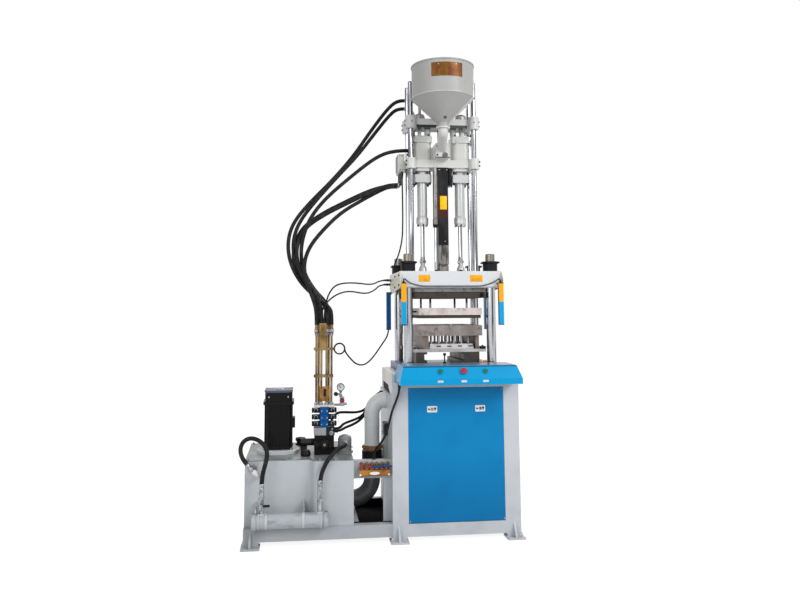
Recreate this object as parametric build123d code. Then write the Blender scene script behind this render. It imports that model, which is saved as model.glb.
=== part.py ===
"""Vertical rubber injection moulding machine with its hydraulic power unit, in millimetres.

Everything is modelled round the press axis: X to the right, Y to the back, Z up, the floor at Z 0.
The shapes are moved at export, so that the origin lies at the middle of the footprint.
"""

import math
import os

from build123d import *

# Fits and clearances
SLIDE_FIT = 0.05  # radial, bars and rods in their guides
SEAT_FIT = 0.05  # radial, between fixed pieces
REST_GAP = 0.3  # between a moving piece and its stop
LOOSE = 1.0  # round pins that only pass through

# Floor, feet and welded base
BASE_HALF_X = 395.0
BASE_FRONT_Y = -385.0
BASE_REAR_Y = 300.0
FOOT_LIFT = 30.0
BASE_RAIL_TOP = 105.0
BASE_FRONT_TOP = 940.0
BASE_FRONT_DEPTH = 85.0
BASE_SHELL_TOP = BASE_FRONT_TOP - 90.0
BASE_WALL = 8.0
PANEL_HALF_X = BASE_HALF_X - 98.0
PANEL_TOP = BASE_FRONT_TOP - 33.0
PANEL_GAP = 1.0
PANEL_DEPTH = 15.0
PANEL_SHEET = 3.0
PANEL_PIVOT = 7.0
PANEL_PIN_R = 4.0
FOOT_WIDTH = 110.0
FOOT_REACH = 45.0
FOOT_PLATE = 12.0
FOOT_GUSSET_TOP = 95.0
ANCHOR_HOLE_R = 9.0
LOCK_X = 150.0
LOCK_Z = PANEL_TOP - 129.0
LOCK_R = 9.0

# Clamp unit
BED_TOP = BASE_FRONT_TOP + 45.0
BED_HALF_X = BASE_HALF_X - 10.0
BED_REAR_Y = BASE_REAR_Y
RAM_R = 150.0
CLAMP_OUTER_R = 190.0
CLAMP_BOTTOM = BED_TOP - 735.0
CLAMP_FLOOR = 45.0
TIE_X = 270.0
TIE_Y = 231.0
TIE_R = 30.0
TIE_BOTTOM = BASE_SHELL_TOP - 105.0
NUT_R = 49.0
NUT_HEIGHT = 65.0
TIE_END = 48.0
HEAD_HALF_X = 327.0
HEAD_HALF_Y = 287.0
HEAD_THICK = 105.0
GLAND_REACH = 18.0
TOP_GLAND = (-310.0, 150.0)
TABLE_THICK = 45.0
TABLE_HALF_X = HEAD_HALF_X - 2.0

# Mould stack
PLATE_HALF_X = 206.0
PLATE_HALF_Y = 250.0
RISER_HEIGHT = 83.0
BOLSTER_THICK = 19.0
BOLSTER_HALF_X = 232.0
SPACER_HEIGHT = 85.0
LOWER_PLATE_THICK = 66.0
DAYLIGHT = 45.0
INSULATION = 20.0
MIDDLE_PLATE_THICK = 45.0
UPPER_DAYLIGHT = 64.0
UPPER_PLATE_THICK = 35.0
UPPER_BOARD_THICK = 30.7
MOULD_LAND_HALF_X = 105.0
MOULD_LAND_STEP = 1.0
HANGER_X = MOULD_LAND_HALF_X + 15.0
HANGER_Y = 190.0
HANGER_R = 7.0
EJECTOR_THICK = 31.0
EJECTOR_HALF_Y = 200.0
PIN_R = 7.0
PIN_RECESS = 26.0

# Injection unit, its heights measured from the head's top and then from the web of the carriage
UNIT_Y = 25.0
GUIDE_X = 218.5
GUIDE_DY = 75.0
GUIDE_R = 17.0
GUIDE_LENGTH = 1312.0
GUIDE_SOCKET = 40.0
BOSS_R = 36.5
BOSS_HEIGHT = 72.0
BOSS_DROP = 10.0
BLOCK_DROP = 20.0
WEB_LIFT = 717.0
WEB_THICK = 54.0
WEB_CORNER = 20.0
SHIFT_X = 131.0
CYLINDER_WIDTH = 122.0
CYLINDER_CORNER = 34.0
CYLINDER_RISE = 123.0
CYLINDER_HEAD = 47.0
INJECTION_X = 146.0
INJECTION_ROD_R = 13.0
INJECTION_BORE_R = 30.0
CROSSHEAD_GAP = 44.0
CROSSHEAD_HEIGHT = 86.0
BEAM_THICK = 63.0
STOP_X = 90.0
STOP_R = 22.0
STOP_RUBBER = 21.0
SHIFT_FLANGE_DROP = 98.0
SHIFT_FLANGE_THICK = 55.0
SHIFT_FLANGE_SIZE = (118.0, 104.0)
SHIFT_TUBE_R = 34.0
SHIFT_TUBE_LENGTH = 229.0
SHIFT_GLAND_R = 41.0
SHIFT_GLAND_LENGTH = 67.0
SHIFT_BORE_R = 28.0
SHIFT_ROD_R = 14.0
BELL_HEIGHT = 74.0
BARREL_R = 31.0
BARREL_BORE_R = 20.5
NOZZLE_LENGTH = 56.0
SCREW_R = 20.0
NOZZLE_R = 47.0
COVER_HALF_X = 35.0
COVER_FRONT_Y = -55.0
COVER_REAR_Y = 65.0
COVER_SHEET = 2.0
FEED_FRONT_Y = -120.0
FEED_HEIGHT = 100.0
CHUTE_MOUTH_RISE = 58.0
HOPPER_X = -38.0
HOPPER_Y = -275.0
HOPPER_R = 203.5
HOPPER_RIM = 4.0
HOPPER_LIFT = 168.0
HOPPER_NECK = 33.0
HOPPER_CONE = 155.0
HOPPER_DRUM = 215.0
HOPPER_OUTLET_R = 46.0
HOPPER_WALL = 3.0
CHUTE_R = 32.0
BOX_WIDTH = 47.0
BOX_GAP = 1.0
BOX_DEPTH = (35.0, 85.0)
BOX_RISE = 44.0
BOX_HEIGHT = 120.0
ELBOW_DROP = 91.0
SENSOR_X = 54.0
SENSOR_Y = UNIT_Y - GUIDE_DY
SENSOR_ROD_R = 10.0
SENSOR_TUBE_R = 16.0
SENSOR_TUBE_LENGTH = 390.0
PORT_Y = (10.0, 50.0, 90.0)
PORT_R = 10.0
CABLE_GLAND_R = 8.0
RISER_Y = UNIT_Y + 140.0
RISER_R = 10.0
RISERS = ((-120.0, 469.0, -232.0), (-165.0, 409.0, -236.0))
SIDE_PORT_RISE = 76.0
SIDE_PORT_END_X = -208.0

# Operator side
CONSOLE_HALF_X = BASE_HALF_X - 25.0
CONSOLE_TOP = BASE_FRONT_TOP + 108.0
CONSOLE_FRONT_Y = BASE_FRONT_Y - 185.0
CONSOLE_SLOPE = 40.0
CONSOLE_BAND_TOP = BASE_FRONT_TOP + 35.0
CONSOLE_BOTTOM = BASE_FRONT_TOP
CONSOLE_SIDE_SLOPE = 25.0
CONSOLE_WALL = 4.0
BUTTON_X = (-126.0, 14.0, 146.0)
BUTTON_Z = BASE_FRONT_TOP + 76.0
BUTTON_R = 14.0
STOP_BUTTON_R = 20.0
STOP_STEM_R = 12.0
BUTTON_TRAVEL = 5.0
ARM_THICK = 5.0
ARM_REAR_Y = 205.0
ARM_DROP = 37.0
CURTAIN_SIZE = 30.0
CURTAIN_REACH = 38.0
CURTAIN_LENGTH = 266.0
CURTAIN_RISE = 29.0
REAR_CURTAIN_LENGTH = 260.0
REAR_CURTAIN_LAP = 19.0

# Power unit
SKID_FRONT_Y = -390.0
SKID_REAR_Y = 270.0
SKID_BOTTOM = 35.0
SKID_TOP = 110.0
SKID_WIDTH = 70.0
TANK_RIGHT_X = -BASE_HALF_X - 234.0
TANK_LENGTH = 648.0
SKID_LEFT_X = TANK_RIGHT_X - TANK_LENGTH
TANK_FRONT_LEFT_Y = -330.0
TANK_FRONT_RIGHT_Y = TANK_FRONT_LEFT_Y - 50.0
TANK_STEP_X = TANK_RIGHT_X - 273.0
TANK_STEP_WIDTH = 53.0
TANK_REAR_Y = 250.0
TANK_TOP = 484.0
LID_THICK = 6.0
MOTOR_X = SKID_LEFT_X + 190.0
MOTOR_Y = -50.0
MOTOR_HALF = 88.0
MOTOR_TOP = TANK_TOP + 396.0
MOTOR_FLANGE_R = 135.0
FILTER_X = TANK_RIGHT_X - 41.0
FILTER_Y = -150.0
FILTER_PORT_Y = FILTER_Y - 82.0
FILTER_PORT_RISE = 70.0
GAUGE_RISE = 106.0
GAUGE_R = 24.0
COOLER_Y = TANK_FRONT_LEFT_Y - 100.0
COOLER_Z = 162.0
COOLER_R = 42.0
COOLER_LEFT_X = SKID_LEFT_X + 50.0
COOLER_LENGTH = 444.0
COOLER_COVER = 26.0
COOLER_PORT_INSETS = (56.0, 49.0)
COOLER_PORT_RISE = 62.0
VALVE_HEIGHT = 66.0
HOSE_END = 40.0
INLET_RISE = 35.0
STACK_X = TANK_RIGHT_X - 172.0
STACK_Y = -150.0
STACK_HALF_X = 65.0
STACK_HALF_Y = 60.0
STACK_LOW_TOP = TANK_TOP + 124.0
STACK_BASE_TOP = TANK_TOP + 171.0
STACK_TOP = TANK_TOP + 306.0
STACK_SHEET = 12.0
COIL_R = 17.0
COIL_LENGTH = 40.0
PUMP_LINE_R = 22.0
TUBE_R = 7.0
TUBE_LENGTH = 500.0
TUBE_NUT = 55.0
TUBE_PITCH = 32.0
TUBE_FRONT_Y = STACK_Y - 15.0
TUBE_REAR_Y = STACK_Y + 30.0
STRAP_LIFTS = (170.0, 340.0)
STRAP_HEIGHT = 16.0
HOLDER_FRONT_Y = STACK_Y - 47.0
DUCT_X = -BASE_HALF_X - 88.0
DUCT_R = 41.5
DUCT_Z = BASE_SHELL_TOP - 55.0
DUCT_JOINT_Z = DUCT_Z - 170.0
DUCT_BEND = 95.0
SLEEVE_R = 66.0
SLEEVE_TOP = 480.0
SLEEVE_BOTTOM = 408.0
RETURN_R = 53.0
RETURN_BEND = 124.0
RETURN_Z = 173.0
BRASS_RIGHT_X = -BASE_HALF_X - 13.0
BRASS_LEFT_X = BRASS_RIGHT_X - 187.0
BRASS_Z = 386.0
BRASS_TOP = BRASS_Z + 36.0
BRASS_DEPTH = 32.0
VALVE_RISE = 20.0
OUTLETS = 6
LEVER_LENGTH = 22.0

# Cords
HOSE_R = 12.5
COOLER_HOSE_R = 13.0
CABLE_R = 5.0
POWER_CABLE_R = 7.0
CABLE_RING_R = 34.0

# Heights that follow
TABLE_TOP = BED_TOP + REST_GAP + TABLE_THICK
RISER_TOP = TABLE_TOP + RISER_HEIGHT
BOLSTER_TOP = RISER_TOP + BOLSTER_THICK
SPACER_TOP = BOLSTER_TOP + SPACER_HEIGHT
LOWER_TOP = SPACER_TOP + LOWER_PLATE_THICK
MIDDLE_BOTTOM = LOWER_TOP + DAYLIGHT
MIDDLE_TOP = MIDDLE_BOTTOM + INSULATION + MIDDLE_PLATE_THICK
UPPER_BOTTOM = MIDDLE_TOP + UPPER_DAYLIGHT
UPPER_TOP = UPPER_BOTTOM + UPPER_PLATE_THICK
HEAD_BOTTOM = UPPER_TOP + UPPER_BOARD_THICK
HEAD_TOP = HEAD_BOTTOM + HEAD_THICK
TIE_TOP = HEAD_TOP + NUT_HEIGHT + TIE_END
GUIDE_TOP = HEAD_TOP + GUIDE_LENGTH
WEB_BOTTOM = HEAD_TOP + WEB_LIFT
WEB_TOP = WEB_BOTTOM + WEB_THICK
CARRIAGE_BOTTOM = WEB_BOTTOM - BLOCK_DROP
BOSS_BOTTOM = WEB_BOTTOM - BOSS_DROP
BOSS_TOP = BOSS_BOTTOM + BOSS_HEIGHT
CYLINDER_TOP = WEB_TOP + CYLINDER_RISE
CYLINDER_HEAD_TOP = CYLINDER_TOP + CYLINDER_HEAD
SHIFT_FLANGE_BOTTOM = WEB_BOTTOM - SHIFT_FLANGE_DROP
SHIFT_FLANGE_TOP = SHIFT_FLANGE_BOTTOM + SHIFT_FLANGE_THICK
SHIFT_TUBE_BOTTOM = SHIFT_FLANGE_BOTTOM - SHIFT_TUBE_LENGTH
SHIFT_GLAND_BOTTOM = SHIFT_TUBE_BOTTOM - SHIFT_GLAND_LENGTH
SHIFT_ROD_TOP = SHIFT_FLANGE_TOP - 17.0
BARREL_BOTTOM = HEAD_TOP + NOZZLE_LENGTH
HOPPER_OUTLET = WEB_TOP + HOPPER_LIFT
HOPPER_CONE_BOTTOM = HOPPER_OUTLET + HOPPER_NECK
HOPPER_CONE_TOP = HOPPER_CONE_BOTTOM + HOPPER_CONE
HOPPER_TOP = HOPPER_CONE_TOP + HOPPER_DRUM
CROSSHEAD_BOTTOM = CYLINDER_HEAD_TOP + CROSSHEAD_GAP
CROSSHEAD_TOP = CROSSHEAD_BOTTOM + CROSSHEAD_HEIGHT
BEAM_BOTTOM = CROSSHEAD_BOTTOM + (CROSSHEAD_HEIGHT - BEAM_THICK) / 2
BEAM_TOP = BEAM_BOTTOM + BEAM_THICK
LID_TOP = TANK_TOP + LID_THICK
GUIDES = [(x, y) for x in (-GUIDE_X, GUIDE_X) for y in (UNIT_Y - GUIDE_DY, UNIT_Y + GUIDE_DY)]
TIES = [(x, y) for x in (-TIE_X, TIE_X) for y in (-TIE_Y, TIE_Y)]
BOX_FACE_X = -GUIDE_X - BOSS_R - BOX_GAP
BOX_LEFT_X = BOX_FACE_X - BOX_WIDTH
BOX_TOP = WEB_TOP + BOX_RISE
BOX_BOTTOM = BOX_TOP - BOX_HEIGHT
PORT_X = (BOX_LEFT_X + BOX_FACE_X) / 2
PORT_Z = BOX_BOTTOM - ELBOW_DROP
CABLE_GLAND = (BOX_FACE_X - 12.0, PORT_Y[0] + 20.0)
GLAND_FACE_X = -HEAD_HALF_X - GLAND_REACH
HEAD_GLANDS = ((240.0, HEAD_TOP - 38.0), (250.0, HEAD_TOP - 68.0))
CURTAIN_TOP = HEAD_BOTTOM + CURTAIN_RISE
CURTAIN_BOTTOM = CURTAIN_TOP - CURTAIN_LENGTH
CURTAIN_Y = -HEAD_HALF_Y - CURTAIN_REACH
REAR_CURTAIN_TOP = HEAD_BOTTOM - ARM_DROP + REAR_CURTAIN_LAP
REAR_CURTAIN_BOTTOM = REAR_CURTAIN_TOP - REAR_CURTAIN_LENGTH
COOLER_RIGHT_X = COOLER_LEFT_X + COOLER_LENGTH
COOLER_PORTS_X = (COOLER_LEFT_X + COOLER_PORT_INSETS[0], COOLER_RIGHT_X - COOLER_PORT_INSETS[1])
COOLER_PORT_TOP = COOLER_Z + COOLER_PORT_RISE
HOSE_FOOT_Z = COOLER_PORT_TOP + VALVE_HEIGHT + HOSE_END
OTHER_HOSE_FOOT_Z = HOSE_FOOT_Z - 5.0
INLET = (SKID_LEFT_X + 87.0, TANK_FRONT_LEFT_Y - 70.0, TANK_TOP - 74.0)
INLET_END = (INLET[0] - INLET_RISE, INLET[1], INLET[2] + INLET_RISE)
FILTER_PORT_Z = LID_TOP + FILTER_PORT_RISE
GAUGE_X = STACK_X + STACK_HALF_X + 39.0
GAUGE_Z = STACK_TOP + GAUGE_RISE
TUBE_TOP = STACK_TOP + TUBE_LENGTH
TUBE_FOOT_X = STACK_X - 51.0
TUBES = [(TUBE_FOOT_X + TUBE_PITCH * step, TUBE_FRONT_Y) for step in range(4)]
TUBES += [(TUBE_FOOT_X + TUBE_PITCH * step, TUBE_REAR_Y) for step in (0.5, 2.5)]
CABLE_RING = (TUBES[3][0] + 51.0, STACK_Y, STACK_TOP + 348.0)

# The middle of the footprint, which becomes the origin
FOOT_OUTER_X = BASE_HALF_X + 15.0
LEFT_EDGE_X = SKID_LEFT_X - 13.0
REAR_EDGE_Y = BASE_REAR_Y + FOOT_REACH
ORIGIN = (
    (LEFT_EDGE_X + FOOT_OUTER_X) / 2,
    (CONSOLE_FRONT_Y + REAR_EDGE_Y) / 2,
    0.0,
)


def block(x0, x1, y0, y1, z0, z1):
    """A box between two corners."""
    return Pos((x0 + x1) / 2, (y0 + y1) / 2, (z0 + z1) / 2) * Box(x1 - x0, y1 - y0, z1 - z0)


def post(x, y, z0, z1, radius):
    """An upright cylinder."""
    return Pos(x, y, (z0 + z1) / 2) * Cylinder(radius, z1 - z0)


def rod_x(x0, x1, y, z, radius):
    """A cylinder along X."""
    return Pos((x0 + x1) / 2, y, z) * Rot(0, 90, 0) * Cylinder(radius, abs(x1 - x0))


def rod_y(x, y0, y1, z, radius):
    """A cylinder along Y."""
    return Pos(x, (y0 + y1) / 2, z) * Rot(90, 0, 0) * Cylinder(radius, abs(y1 - y0))


def turned(x, y, points):
    """A solid of revolution about an upright axis, from its (radius, height) outline."""
    outline = make_face(Polyline([(r, 0, z) for r, z in points], close=True))
    return Pos(x, y, 0) * revolve(outline, Axis.Z)


def rounded(x, y, width, depth, z0, z1, corner):
    """An upright prism with rounded corners."""
    return Pos(x, y, z0) * extrude(RectangleRounded(width, depth, corner), z1 - z0)


def side_profile(points, x0, x1):
    """A prism along X from its (y, z) outline."""
    outline = make_face(Polyline([(x0, y, z) for y, z in points], close=True))
    return extrude(outline, x1 - x0, dir=(1, 0, 0))


def front_profile(points, y0, y1):
    """A prism along Y from its (x, z) outline."""
    outline = make_face(Polyline([(x, y0, z) for x, z in points], close=True))
    return extrude(outline, y1 - y0, dir=(0, 1, 0))


def pipe(points, radius, bend):
    """A pipe of straight runs and equal bends."""
    path = FilletPolyline(*points, radius=bend)
    start = Plane(origin=path @ 0, z_dir=path % 0)
    return sweep(start * Circle(radius), path=path)


def corner_radii(points, share=0.45):
    """The bend at each inner point: as wide as the shorter run beside it lets it be."""
    radii = []
    for a, b, c in zip(points, points[1:], points[2:]):
        back = Vector(*b) - Vector(*a)
        on = Vector(*c) - Vector(*b)
        half_turn = back.get_angle(on) / 2
        radii.append(share * min(back.length, on.length) / math.tan(math.radians(half_turn)))
    return radii


def cord(name, points, radius):
    """A free hose or cable along straight runs and tangent arcs."""
    radii = corner_radii(points)
    path = FilletPolyline(*points, radius=radii)
    start = Plane(origin=path @ 0, z_dir=path % 0)
    tube = sweep(start * Circle(radius), path=path)
    area = math.pi * radius**2
    share = round(tube.volume / (area * path.length), 4)
    print(name, "length", round(path.length), "radii", [round(r) for r in radii], "volume share", share)
    return tube


def foot(x, front_y, back_y, frame_bottom, gusset_top):
    """A welded foot: floor plate with an anchor hole, pad under the frame and a front gusset."""
    out = 1 if back_y > front_y else -1
    toe = front_y - out * FOOT_REACH
    y0, y1 = sorted((toe, front_y + out * 60))
    plate = block(x - FOOT_WIDTH / 2, x + FOOT_WIDTH / 2, y0, y1, 0, FOOT_PLATE)
    plate -= post(x + FOOT_WIDTH / 4, toe + out * 22, -1, FOOT_PLATE + 1, ANCHOR_HOLE_R)
    p0, p1 = sorted((front_y, front_y + out * 60))
    pad = block(x - FOOT_WIDTH / 2 + 8, x + FOOT_WIDTH / 2 - 8, p0, p1, FOOT_PLATE, frame_bottom)
    gusset_toe = toe + out * 4
    gusset_outline = [
        (front_y, FOOT_PLATE), (gusset_toe, FOOT_PLATE), (gusset_toe, FOOT_PLATE + 12), (front_y, gusset_top),
    ]
    gusset = side_profile(gusset_outline, x - 8, x + 4)
    return plate + pad + gusset


def base_frame():
    """Welded base: front frame with the panel opening, side and rear walls, and four feet."""
    front_inner = BASE_FRONT_Y + BASE_FRONT_DEPTH
    front = block(-BASE_HALF_X, BASE_HALF_X, BASE_FRONT_Y, front_inner, FOOT_LIFT, BASE_FRONT_TOP)
    opening_x = PANEL_HALF_X + PANEL_GAP
    opening_top = PANEL_TOP + PANEL_GAP
    front -= block(-opening_x, opening_x, BASE_FRONT_Y - 1, front_inner + 1, BASE_RAIL_TOP, opening_top)
    shell = block(-BASE_HALF_X, BASE_HALF_X, front_inner, BASE_REAR_Y, FOOT_LIFT, BASE_SHELL_TOP)
    shell -= block(
        -BASE_HALF_X + BASE_WALL, BASE_HALF_X - BASE_WALL,
        front_inner - 1, BASE_REAR_Y - BASE_WALL, FOOT_LIFT - 1, BASE_SHELL_TOP + 1,
    )
    body = front + shell
    body -= rod_x(-BASE_HALF_X - 1, -BASE_HALF_X + BASE_WALL + 1, 0, DUCT_Z, DUCT_R - 4)
    pivot_y = BASE_FRONT_Y + PANEL_PIVOT
    pivot_z = BASE_RAIL_TOP + PANEL_GAP + PANEL_PIVOT
    for side in (-1, 1):
        hinge_hole = rod_x(opening_x - 1, opening_x + 12, pivot_y, pivot_z, PANEL_PIN_R + SLIDE_FIT)
        body -= hinge_hole if side > 0 else mirror(hinge_hole, Plane.YZ)
    foot_x = FOOT_OUTER_X - FOOT_WIDTH / 2
    for x in (-foot_x, foot_x):
        body += foot(x, BASE_FRONT_Y, BASE_REAR_Y, FOOT_LIFT, FOOT_GUSSET_TOP)
        body += foot(x, BASE_REAR_Y, BASE_FRONT_Y, FOOT_LIFT, FOOT_GUSSET_TOP)
    low_box = block(-BASE_HALF_X - 24, -BASE_HALF_X, -150, -40, BASE_SHELL_TOP - 423, BASE_SHELL_TOP - 260)
    high_box = block(-BASE_HALF_X - 26, -BASE_HALF_X, -160, -60, BASE_SHELL_TOP - 258, BASE_SHELL_TOP - 185)
    side_boxes = [low_box, high_box]
    return [body] + side_boxes


def skid_frame():
    """Frame under the power unit, with its feet and the bracket that carries the water manifold."""
    right = -BASE_HALF_X
    bottom, top = SKID_BOTTOM, SKID_TOP
    frame = block(SKID_LEFT_X, right, SKID_FRONT_Y, SKID_REAR_Y, bottom, top)
    frame -= block(
        SKID_LEFT_X + SKID_WIDTH, TANK_RIGHT_X - SKID_WIDTH / 2,
        SKID_FRONT_Y + SKID_WIDTH, SKID_REAR_Y - SKID_WIDTH, bottom - 1, top + 1,
    )
    frame -= block(
        TANK_RIGHT_X + SKID_WIDTH / 2, right + 1,
        SKID_FRONT_Y + SKID_WIDTH, SKID_REAR_Y - SKID_WIDTH, bottom - 1, top + 1,
    )
    foot_x = LEFT_EDGE_X + FOOT_WIDTH / 2
    frame += foot(foot_x, SKID_FRONT_Y, SKID_REAR_Y, bottom, FOOT_GUSSET_TOP + 5)
    frame += foot(foot_x, SKID_REAR_Y, SKID_FRONT_Y, bottom, FOOT_GUSSET_TOP + 5)
    plate_y = TANK_FRONT_LEFT_Y
    plate_foot, plate_top = BRASS_Z - 18, BRASS_TOP + 52
    bracket_outline = [
        (plate_y, plate_foot), (plate_y + 4, plate_foot), (plate_y + 4, plate_top - 4),
        (plate_y + 40, plate_top - 4), (plate_y + 40, plate_top), (plate_y, plate_top),
    ]
    bracket = side_profile(bracket_outline, TANK_RIGHT_X, right)
    strut = block(right - 50, right, plate_y + 4, plate_y + 24, top, plate_top - 4)
    return [frame + strut + bracket]


def bed_block():
    """Bed over the clamp cylinder, bored for the ram and the tie bars."""
    front = BASE_FRONT_Y + BASE_FRONT_DEPTH
    body = block(-BED_HALF_X, BED_HALF_X, front, BED_REAR_Y, BASE_SHELL_TOP, BED_TOP)
    uprights = body.edges().filter_by(Axis.Z).filter_by_position(Axis.Y, BED_REAR_Y - 1, BED_REAR_Y + 1)
    body = chamfer(uprights, 12)
    body -= post(0, 0, BASE_SHELL_TOP - 1, BED_TOP + 1, RAM_R + SLIDE_FIT)
    for x, y in TIES:
        body -= post(x, y, BASE_SHELL_TOP - 1, BED_TOP + 1, TIE_R + SEAT_FIT)
    return [body]


def clamp_cylinder():
    """Pressure cylinder hanging under the bed, with its flange and closed bottom."""
    flange = BASE_SHELL_TOP - 50
    body = turned(0, 0, [
        (0, CLAMP_BOTTOM), (CLAMP_OUTER_R - 30, CLAMP_BOTTOM), (CLAMP_OUTER_R, CLAMP_BOTTOM + 30),
        (CLAMP_OUTER_R, flange), (CLAMP_OUTER_R + 25, flange), (CLAMP_OUTER_R + 25, BASE_SHELL_TOP),
        (RAM_R + SLIDE_FIT, BASE_SHELL_TOP), (RAM_R + SLIDE_FIT, flange - 40), (RAM_R + 4, flange - 50),
        (RAM_R + 4, CLAMP_BOTTOM + CLAMP_FLOOR), (0, CLAMP_BOTTOM + CLAMP_FLOOR),
    ])
    return [body]


def ram():
    """Clamp ram, in the bottom of its stroke."""
    foot_z = CLAMP_BOTTOM + CLAMP_FLOOR + REST_GAP
    return [post(0, 0, foot_z, BED_TOP + REST_GAP, RAM_R)]


def tie_bars():
    """Four tie bars, each with a flanged ring nut over the head and a plain nut under the bed."""
    pieces = []
    for x, y in TIES:
        pieces.append(turned(x, y, [
            (0, TIE_BOTTOM), (TIE_R, TIE_BOTTOM), (TIE_R, TIE_TOP - 4), (TIE_R - 4, TIE_TOP), (0, TIE_TOP),
        ]))
        inner = TIE_R + SEAT_FIT
        top = HEAD_TOP + NUT_HEIGHT
        nut = turned(x, y, [
            (inner, HEAD_TOP), (NUT_R - 2, HEAD_TOP), (NUT_R - 2, top - 18), (NUT_R + 4, top - 14),
            (NUT_R + 4, top - 2), (NUT_R + 1, top), (inner, top),
        ])
        for turn in range(4):
            nut += Pos(x, y, 0) * Rot(0, 0, 45 + 90 * turn) * Pos(NUT_R + 5, 0, top - 8) * Box(16, 14, 12)
        pieces.append(nut)
        under = BASE_SHELL_TOP - 75
        lower_nut = [(inner, under), (NUT_R, under), (NUT_R, BASE_SHELL_TOP), (inner, BASE_SHELL_TOP)]
        pieces.append(turned(x, y, lower_nut))
    return pieces


def head_platen():
    """Fixed head: a thick plate bored for tie bars and nozzle, with sockets for guide bars."""
    body = block(-HEAD_HALF_X, HEAD_HALF_X, -HEAD_HALF_Y, HEAD_HALF_Y, HEAD_BOTTOM, HEAD_TOP)
    body = chamfer(body.edges().filter_by(Axis.X).group_by(Axis.Z)[0], 8)
    for x, y in TIES:
        body -= post(x, y, HEAD_BOTTOM - 1, HEAD_TOP + 1, TIE_R + SEAT_FIT)
    for x, y in GUIDES:
        body -= post(x, y, HEAD_TOP - GUIDE_SOCKET, HEAD_TOP + 1, GUIDE_R + SEAT_FIT)
    under, over = HEAD_BOTTOM - 1, HEAD_TOP + 1
    body -= turned(0, UNIT_Y, [(0, under), (14, under), (6, over), (0, over)])
    glands = [rod_x(GLAND_FACE_X, -HEAD_HALF_X, y, z, 8) for y, z in HEAD_GLANDS]
    glands.append(post(TOP_GLAND[0], TOP_GLAND[1], HEAD_TOP, HEAD_TOP + 14, 8))
    return [body] + glands


def light_curtains():
    """Side arms on the head, four light curtain posts and the cable between the front two."""
    pieces = []
    half = CURTAIN_SIZE / 2
    outer = HEAD_HALF_X + ARM_THICK
    for side in (-1, 1):
        arm = side_profile([
            (-HEAD_HALF_Y, HEAD_TOP), (CURTAIN_Y, HEAD_TOP - 52), (CURTAIN_Y, HEAD_BOTTOM + 8),
            (-HEAD_HALF_Y, HEAD_BOTTOM), (ARM_REAR_Y, HEAD_BOTTOM - ARM_DROP), (ARM_REAR_Y, HEAD_TOP - 51),
        ], HEAD_HALF_X, outer)
        front = block(
            HEAD_HALF_X - CURTAIN_SIZE, HEAD_HALF_X,
            CURTAIN_Y - half, CURTAIN_Y + half,
            CURTAIN_BOTTOM, CURTAIN_TOP,
        )
        rear = block(
            outer, outer + CURTAIN_SIZE,
            ARM_REAR_Y - CURTAIN_SIZE, ARM_REAR_Y,
            REAR_CURTAIN_BOTTOM, REAR_CURTAIN_TOP,
        )
        rail = block(
            outer + 5, outer + 22,
            ARM_REAR_Y, ARM_REAR_Y + 14,
            REAR_CURTAIN_BOTTOM + 35, REAR_CURTAIN_TOP - 10,
        )
        for piece in (arm, front, rear, rail):
            pieces.append(piece if side > 0 else mirror(piece, Plane.YZ))
    cable_y = -HEAD_HALF_Y - 4
    end_x = HEAD_HALF_X - 16
    left_half = [
        (-end_x, cable_y - 34, CURTAIN_TOP), (-end_x, cable_y - 30, CURTAIN_TOP + 30),
        (-HEAD_HALF_X + 60, cable_y, CURTAIN_TOP), (-HEAD_HALF_X + 130, cable_y, HEAD_BOTTOM + 9),
    ]
    route = left_half + [(-x, y, z) for x, y, z in reversed(left_half)]
    path = FilletPolyline(*route, radius=corner_radii(route, 0.4))
    pieces.append(sweep(Plane(origin=path @ 0, z_dir=path % 0) * Circle(4), path=path))
    return pieces


def guide_bars():
    """Four chromed bars on which the carriage and the crosshead slide."""
    foot_z = HEAD_TOP - GUIDE_SOCKET
    return [
        turned(x, y, [
            (0, foot_z), (GUIDE_R, foot_z), (GUIDE_R, GUIDE_TOP - 3),
            (GUIDE_R - 3, GUIDE_TOP), (0, GUIDE_TOP),
        ])
        for x, y in GUIDES
    ]


def shift_rods():
    """Piston rods of the two shift cylinders on their bell feet, and the rod of the position sensor."""
    pieces = []
    for x in (-SHIFT_X, SHIFT_X):
        piston = SHIFT_ROD_TOP - 15
        bell_top = HEAD_TOP + BELL_HEIGHT
        running = SHIFT_BORE_R - SLIDE_FIT
        pieces.append(turned(x, UNIT_Y, [
            (0, bell_top), (SHIFT_ROD_R, bell_top), (SHIFT_ROD_R, piston), (running, piston),
            (running, SHIFT_ROD_TOP), (0, SHIFT_ROD_TOP),
        ]))
        pieces.append(turned(x, UNIT_Y, [
            (0, HEAD_TOP), (30, HEAD_TOP), (29, HEAD_TOP + 14), (24, HEAD_TOP + 38), (15, bell_top - 18),
            (13, bell_top - 12), (18, bell_top - 10), (18, bell_top), (0, bell_top),
        ]))
    pieces.append(post(-SENSOR_X, SENSOR_Y, HEAD_TOP, SHIFT_FLANGE_BOTTOM, SENSOR_ROD_R))
    return pieces


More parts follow.
